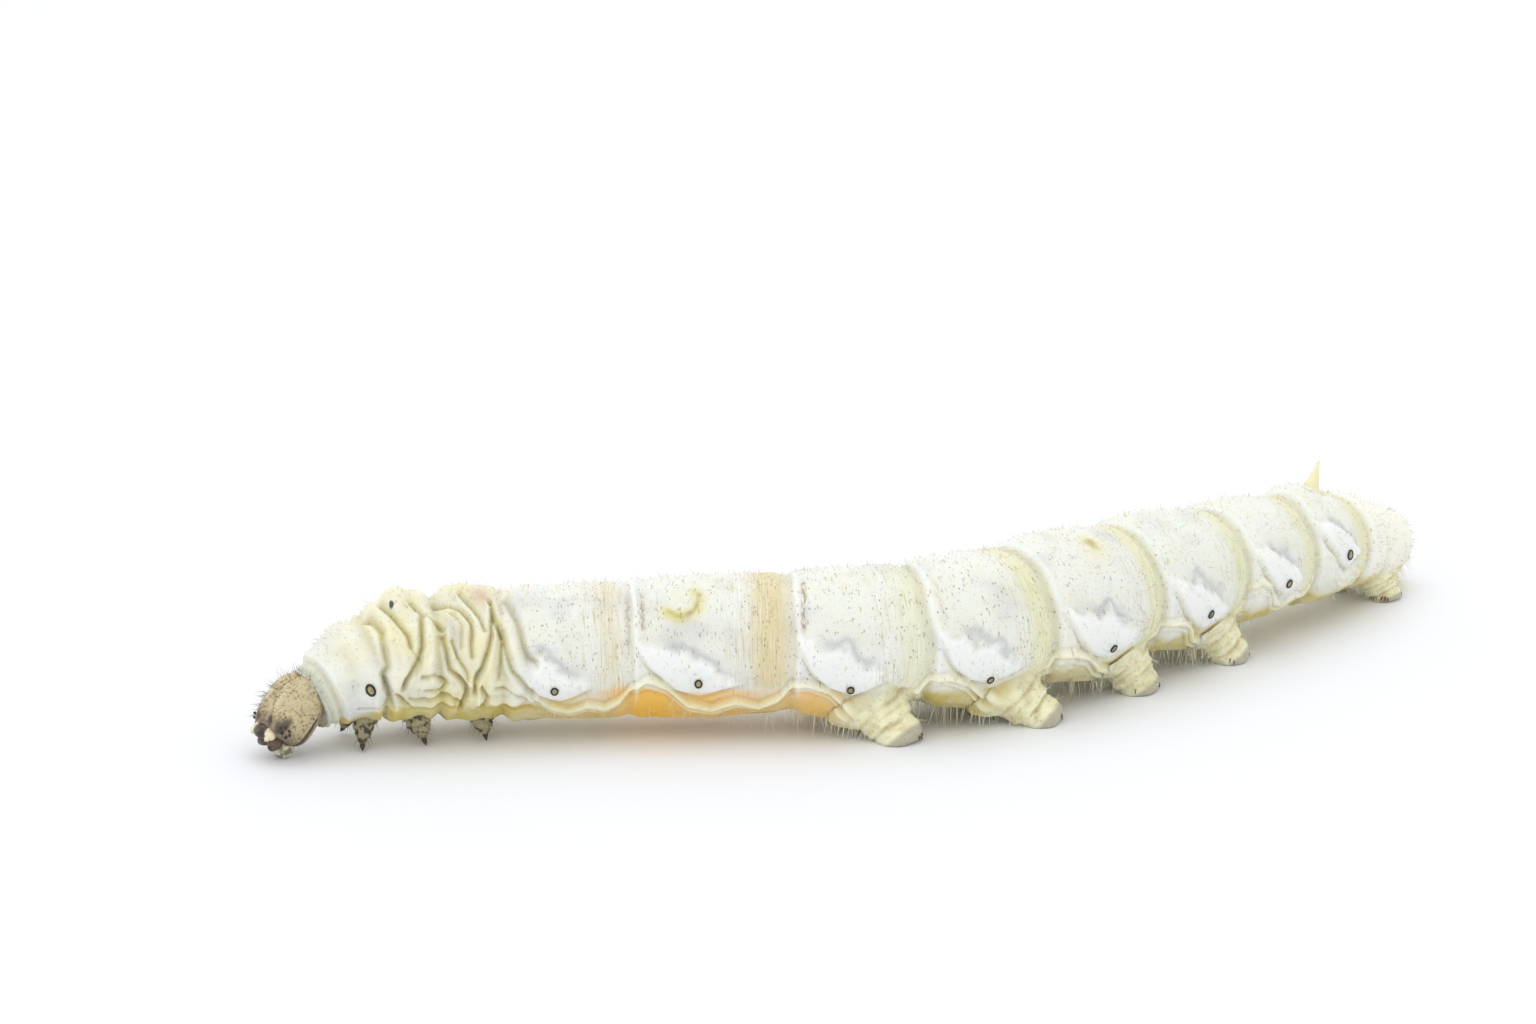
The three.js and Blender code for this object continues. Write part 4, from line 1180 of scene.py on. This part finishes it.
for limb in thoracicLegs:
    for name, side in flankNames:
        root, direction, across, length = limbFrame(limb, side, -62, 0.5, 0.1)
        title = limb["nodes"] + "_" + name
        sections = [(a, x * limb["width"], y * limb["width"]) for a, x, y in legSections]
        verts, faces = peg(root, direction, across, length * legLook["shell"], sections, 60, 30)
        radials = verts - root - np.outer((verts - root) @ direction, direction)
        verts = verts + (0.1 * lattice(verts, 0.45, 53) + 0.05 * lattice(verts, 0.18, 59))[:, None] * radials
        keep(millimetres(newObject(title, verts, faces)), "leg_shell", [title], legPaint)
        clawRoot = root + direction * length * 0.86
        clawLength = length * 0.14 + 0.06
        bow = legLook["clawBow"] * side
        verts, faces = peg(clawRoot, direction, across, clawLength, clawSections, 20, 12, bow)
        keep(millimetres(newObject("claw_" + title, verts, faces)), "leg_shell", [], clawPaint)
        rng = np.random.default_rng(int(abs(root[0]) * 1000))
        deep = np.cross(direction, across)
        for _ in range(legLook["hairs"]):
            t, a = rng.uniform(0.15, 0.9), rng.uniform(0, 2 * np.pi)
            way = across * math.cos(a) + deep * math.sin(a)
            radius = np.interp(t / 0.9, [a for a, _, _ in legSections], [x for _, x, _ in legSections])
            seat = root + direction * length * t + way * radius * limb["width"] * 0.93 * 0.97
            hairLength = rng.uniform(*legLook["hairLength"])
            leaning = way * 0.6 + direction * 0.8
            hairRoots.append((seat, leaning, hairLength, legLook["hairWidth"], 0.1, "legs"))

# Spiracles: a dark rim round a ribbed olive plate, nine on each flank

spiracleLook = {
    "front": (0.2, 0.29),  # half width and half height in mm
    "others": (0.155, 0.215),
    "rim": 0.052,
    "places": {0: 0.64, 3: 0.4},  # share of the ring, where it isn't 0.43
}
rimPaint = paint("spiracle_rim", tint(36, 28, 24), 0.3, grain=0.1)
platePaint = paint("spiracle_plate", tint(178, 168, 124), 0.45, tint(96, 84, 54), 0.16, 0.5)

skinFaces = [tuple(p.vertices) for p in skinPiece.data.polygons]
skinTree = BVHTree.FromPolygons([tuple(c) for c in corners], skinFaces)


# Where a line from the axis leaves the skin, with the skin's direction there
def skinSeat(place, degrees, side):
    angle = onFlank(degrees, side)
    inner = bodyPoint(np.array(place), np.array(angle), np.array(2.5))
    origin = axisFrame(place)[0]
    way = origin - inner
    way /= np.linalg.norm(way)
    hit, normal, _, _ = skinTree.ray_cast(Vector(inner), Vector(way))
    return np.array(hit), np.array(normal)


def skinNear(point):
    hit, normal, _, _ = skinTree.find_nearest(Vector(point))
    return np.array(hit), np.array(normal)


for name, side in flankNames:
    rims, plates = [], []
    for ring, angle in spiracleDegrees.items():
        place = joints[ring] + spiracleLook["places"].get(ring, 0.43) * lengths[ring]
        wide, high = spiracleLook["front" if ring == 0 else "others"]
        if ring == 10:
            wide, high = wide * 1.15, high * 1.15
        at, normal = skinSeat(place, angle, side)
        back = axisFrame(place)[2]
        lateral = back - normal * (back @ normal)
        lateral /= np.linalg.norm(lateral)
        tall = np.cross(normal, lateral)
        around = np.linspace(0, 2 * np.pi, 36, endpoint=False)
        small = np.linspace(0, 2 * np.pi, 12, endpoint=False)
        thick = spiracleLook["rim"] * (1.25 if ring == 0 else 1)
        ringWay = np.cos(around)[:, None] * lateral * wide + np.sin(around)[:, None] * tall * high
        outWay = np.cos(around)[:, None] * lateral + np.sin(around)[:, None] * tall
        bead = np.cos(small)[None, :, None] * outWay[:, None] + np.sin(small)[None, :, None] * normal
        loops = (at + normal * 0.03 + ringWay)[:, None] + thick * bead
        faces = []
        for i in range(36):
            for j in range(12):
                n, m = (i + 1) % 36, (j + 1) % 12
                faces.append((i * 12 + j, n * 12 + j, n * 12 + m, i * 12 + m))
        rims.append((loops.reshape(-1, 3), faces))
        axes = (lateral, tall, normal)
        verts, faces = tube(ballRings(at + normal * 0.005, axes, (wide, high, 0.07), 20, 40))
        aside, upward = (verts - at) @ lateral, (verts - at) @ tall
        ribs = 0.012 * np.cos(upward * 60) * (np.abs(aside) > 0.02)
        slit = 0.05 * bell(aside, 0.03) * (np.abs(upward) < high * 0.75)
        plates.append((verts - np.outer(ribs + slit, normal), faces))
    keep(millimetres(newObject("spiracle_rims_" + name, *gather(rims))), "skin", [], rimPaint)
    keep(millimetres(newObject("spiracle_plates_" + name, *gather(plates))), "skin", [], platePaint)

# Crochets: brown hooks in an arc on the inner half of each sole

hooks = {
    "count": 30,
    "arc": 230,  # degrees
    "radii": (0.6, 0.66),  # shares of the proleg's width, by turns
    "heights": (0.26, 0.34),
    "length": 0.26,
    "bow": 0.07,
    "sections": [(0, 0.034, 0.04), (0.5, 0.03, 0.035), (0.85, 0.018, 0.02), (1, 0.006, 0.006)],
}
hookPaint = paint("crochets", tint(112, 70, 38), 0.3, grain=0.1)
for name, side in flankNames:
    parts = []
    for limb in prolegs:
        root, direction, across, length = prolegFrame(limb, side)
        foot = root + direction * length
        inward = axisFrame(joints[limb["piece"]])[1] * -side
        inward[2] = 0
        inward /= np.linalg.norm(inward)
        forwardWay = np.cross(inward, [0, 0, 1])
        for i in range(hooks["count"]):
            a = math.radians(hooks["arc"] * (i / (hooks["count"] - 1) - 0.5))
            out = inward * math.cos(a) + forwardWay * math.sin(a)
            at = foot + out * hooks["radii"][i % 2] * limb["width"]
            at[2] = hooks["heights"][i % 2]
            hit, normal = skinNear(at)
            way = out * 0.55 - np.array([0, 0, 1.0])
            way /= np.linalg.norm(way)
            tall = np.cross(way, out)
            tall /= np.linalg.norm(tall)
            reach = min(hooks["length"], hit[2] - 0.02)
            parts.append(peg(hit - way * 0.03, way, tall, reach, hooks["sections"], 9, 7, hooks["bow"]))
    keep(millimetres(newObject("crochets_" + name, *gather(parts))), "proleg_skin", [], hookPaint)

# The coat: short stiff bristles on the head and legs, longer pale hairs low on the flanks and prolegs,
# and a down on the back

coat = {
    "fringeHairs": 1000,
    "flankHairs": 500,
    "prolegHairs": 900,
    "backHairs": 3600,
    "headHairs": 260,
    "widths": {"fringe": 0.02, "flank": 0.014, "proleg": 0.016, "back": 0.009, "head": 0.011},  # mm
    "floor": 0.04,  # mm that every tip keeps above the floor
    "levels": (-0.06, 0.3, 0.62, 0.86),  # shares of the length; the root sits a little inside the skin
    "turns": (0, 2.1, 4.2),
}
upright = np.array([0, 0, 1.0])
width = coat["widths"]
rng = np.random.default_rng(20)
for _ in range(coat["fringeHairs"]):
    side = rng.choice([-1, 1])
    limb = prolegs[rng.integers(0, 4)]
    middle = joints[limb["piece"]] + limb["u"] * lengths[limb["piece"]]
    place, angle = middle - 0.6 + rng.normal(0, 2.0), rng.uniform(-86, -50)
    seat, normal = skinSeat(place, angle, side)
    way = 0.45 * normal + 0.16 * rng.normal(size=3) - upright
    hairRoots.append((seat, way, rng.uniform(0.6, 1.35), width["fringe"], rng.uniform(-0.15, 0.2), "flanks"))
for _ in range(coat["flankHairs"]):
    side = rng.choice([-1, 1])
    place = rng.choice(joints[3:12]) + rng.uniform(0, 6)
    angle = rng.normal(-44, 12)
    seat, normal = skinSeat(min(place, trunkLength - 0.6), max(angle, -85), side)
    way = normal + 0.25 * rng.normal(size=3) - 0.25 * upright
    hairRoots.append((seat, way, rng.uniform(0.3, 0.8), width["flank"], rng.uniform(-0.2, 0.2), "flanks"))
for _ in range(coat["prolegHairs"]):
    side = rng.choice([-1, 1])
    limb = prolegs[rng.integers(0, 5)]
    root, direction, across, length = prolegFrame(limb, side)
    t, a = rng.uniform(0.34, 0.86), rng.uniform(0, 2 * np.pi)
    deep = np.cross(direction, across)
    out = across * math.cos(a) + deep * math.sin(a)
    seat, normal = skinNear(root + direction * length * t + out * limb["width"] * 1.1)
    way = normal * 0.8 - 0.5 * upright + 0.2 * rng.normal(size=3)
    reach = rng.uniform(0.4, 1.0) * (1.1 if t < 0.6 else 0.7)
    hairRoots.append((seat, way, reach, width["proleg"], rng.uniform(-0.25, 0.25), "flanks"))
for _ in range(coat["backHairs"]):
    side = rng.choice([-1, 1])
    place, angle = rng.uniform(0.3, trunkLength - 0.5), rng.uniform(-30, 90)
    seat, normal = skinSeat(place, angle, side)
    way = normal + 0.35 * rng.normal(size=3)
    hairRoots.append((seat, way, rng.uniform(0.12, 0.4), width["back"], 0.05, "back"))
for _ in range(coat["headHairs"]):
    place = headDirection(rng.uniform(-110, 110), rng.uniform(-55, 75))
    wide, high, out = faceAxes(place)
    way = out + 0.3 * rng.normal(size=3) - 0.3 * high
    reach, bend = rng.uniform(0.25, 0.7), rng.uniform(-0.1, 0.1)
    hairRoots.append((headPoint(place, np.array(0.0)), way, reach, width["head"], bend, "legs"))


# Tapered three-sided hairs, each a small patch of the unrolled skin at its root's place
def buildHairs(name, roots):
    verts, faces, maps = [], [], []
    place, _, around, _ = bodyPlace(np.array([r[0] for r in roots]))
    for i, (root, way, length, width, bend, _) in enumerate(roots):
        way = np.asarray(way) / np.linalg.norm(way)
        room = root[2] - abs(bend) - coat["floor"]
        if room < 0.1:
            continue
        if way[2] < 0:
            length = min(length, room / -way[2])
        aside = np.cross(way, [0.3, 0.2, 1.0])
        aside /= np.linalg.norm(aside)
        deep = np.cross(way, aside)
        start = len(verts)
        mapX, mapY = (place[i] + 2) / (trunkLength + 4), ((around[i] + 90) % 360) / 360
        for share in coat["levels"]:
            centre = root + way * length * share + deep * bend * max(share, 0) ** 2
            radius = width * (1 - 0.8 * max(share, 0))
            for turn in coat["turns"]:
                verts.append(centre + radius * (aside * math.cos(turn) + deep * math.sin(turn)))
                maps.append((mapX + 0.003 * (share - 0.4), mapY + 0.001 * (turn - 2.1) / 2.1))
        verts.append(root + way * length + deep * bend)
        maps.append((mapX + 0.0016, mapY))
        for level in range(3):
            for j in range(3):
                a, b = start + level * 3 + j, start + level * 3 + (j + 1) % 3
                faces.append((a, b, b + 3, a + 3))
        for j in range(3):
            faces.append((start + 9 + j, start + 9 + (j + 1) % 3, start + 12))
        faces.append((start + 2, start + 1, start))
    piece = newObject(name, verts, faces)
    layer = piece.data.uv_layers.new(name="OFBake")
    loops = np.empty(len(piece.data.loops), np.int32)
    piece.data.loops.foreach_get("vertex_index", loops)
    layer.data.foreach_set("uv", np.array(maps, np.float32)[loops].ravel())
    return millimetres(piece)


print("coat")
coatPaints = {
    "flanks": ("proleg_skin", paint("pale_hair", tint(236, 232, 204), 0.4, grain=0.0)),
    "back": ("skin", paint("down_hair", tint(176, 160, 110), 0.4, grain=0.0)),
    "legs": ("leg_shell", paint("dark_hair", tint(96, 74, 50), 0.35, grain=0.0)),
}
for kind, (slotName, material) in coatPaints.items():
    keep(buildHairs("hairs_" + kind, [r for r in hairRoots if r[5] == kind]), slotName, [], material)

# Every piece rides on the still body, and the skin stands for all the soft nodes
trunkNames = ["prothorax", "mesothorax", "metathorax"] + [f"abdomen_{i}" for i in range(1, 11)]
softNodes = ["neck", "tail_horn"] + trunkNames
for limb in prolegs:
    softNodes += [limb["nodes"] + "_" + name for name, _ in flankNames]
pieces.append((skinPiece, "skin", softNodes))
for piece, slotName, nodes in pieces:
    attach(piece, "root")
    if nodes:
        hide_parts(*nodes)
triangles = sum(len(piece.data.loops) - 2 * len(piece.data.polygons) for piece, _, _ in pieces)
print("pieces", len(pieces), "triangles", triangles)

# The studio: a plain pale floor, soft light from above and a little from the front

studio = {
    "floor": tint(238, 239, 242),
    "floorHalf": 3,  # metres
    "world": 0.97,
    "worldColour": (0.985, 0.99, 1.0, 1.0),
    "lamps": {  # place, size in metres, watts
        "overhead": ((-0.05, -0.02, 0.5), (0.7, 0.6), 0.66),
        "front": ((-0.3, -0.5, 0.3), (0.4, 0.4), 0.32),
        "rear": ((0.2, 0.5, 0.35), (0.5, 0.3), 0.22),
    },
}
half = studio["floorHalf"]
floorMesh = bpy.data.meshes.new("floor")
floorCorners = [(-half, -half, 0), (half, -half, 0), (half, half, 0), (-half, half, 0)]
floorMesh.from_pydata(floorCorners, [], [(0, 1, 2, 3)])
floor = bpy.data.objects.new("floor", floorMesh)
bpy.context.scene.collection.objects.link(floor)
floorMesh.materials.append(paint("floor", studio["floor"], 0.7, grain=0.0))
world = bpy.data.worlds.new("studio")
bpy.context.scene.world = world
world.use_nodes = True
world.node_tree.nodes["Background"].inputs["Color"].default_value = studio["worldColour"]
world.node_tree.nodes["Background"].inputs["Strength"].default_value = studio["world"]

for name, (place, size, power) in studio["lamps"].items():
    light = bpy.data.lights.new(name, "AREA")
    light.shape = "RECTANGLE"
    light.size, light.size_y = size
    light.energy = power
    lamp = bpy.data.objects.new(name, light)
    lamp.location = place
    lamp.rotation_mode = "QUATERNION"
    lamp.rotation_quaternion = (-Vector(place)).to_track_quat("-Z", "Y")  # aims at the middle
    bpy.context.scene.collection.objects.link(lamp)

view = {"place": (-0.00829, -0.2950, 0.09428), "down": 16.2, "aside": -0.72, "lens": 137.81, "sensor": 36}
camera = bpy.data.objects.new("camera", bpy.data.cameras.new("camera"))
camera.location = view["place"]
camera.rotation_euler = (math.radians(90 - view["down"]), 0, math.radians(view["aside"]))
camera.data.lens = view["lens"]
camera.data.sensor_width = view["sensor"]
camera.data.clip_start = 0.01
bpy.context.scene.collection.objects.link(camera)
bpy.context.scene.camera = camera
bpy.context.scene.view_settings.view_transform = "Standard"

bpy.context.view_layer.update()
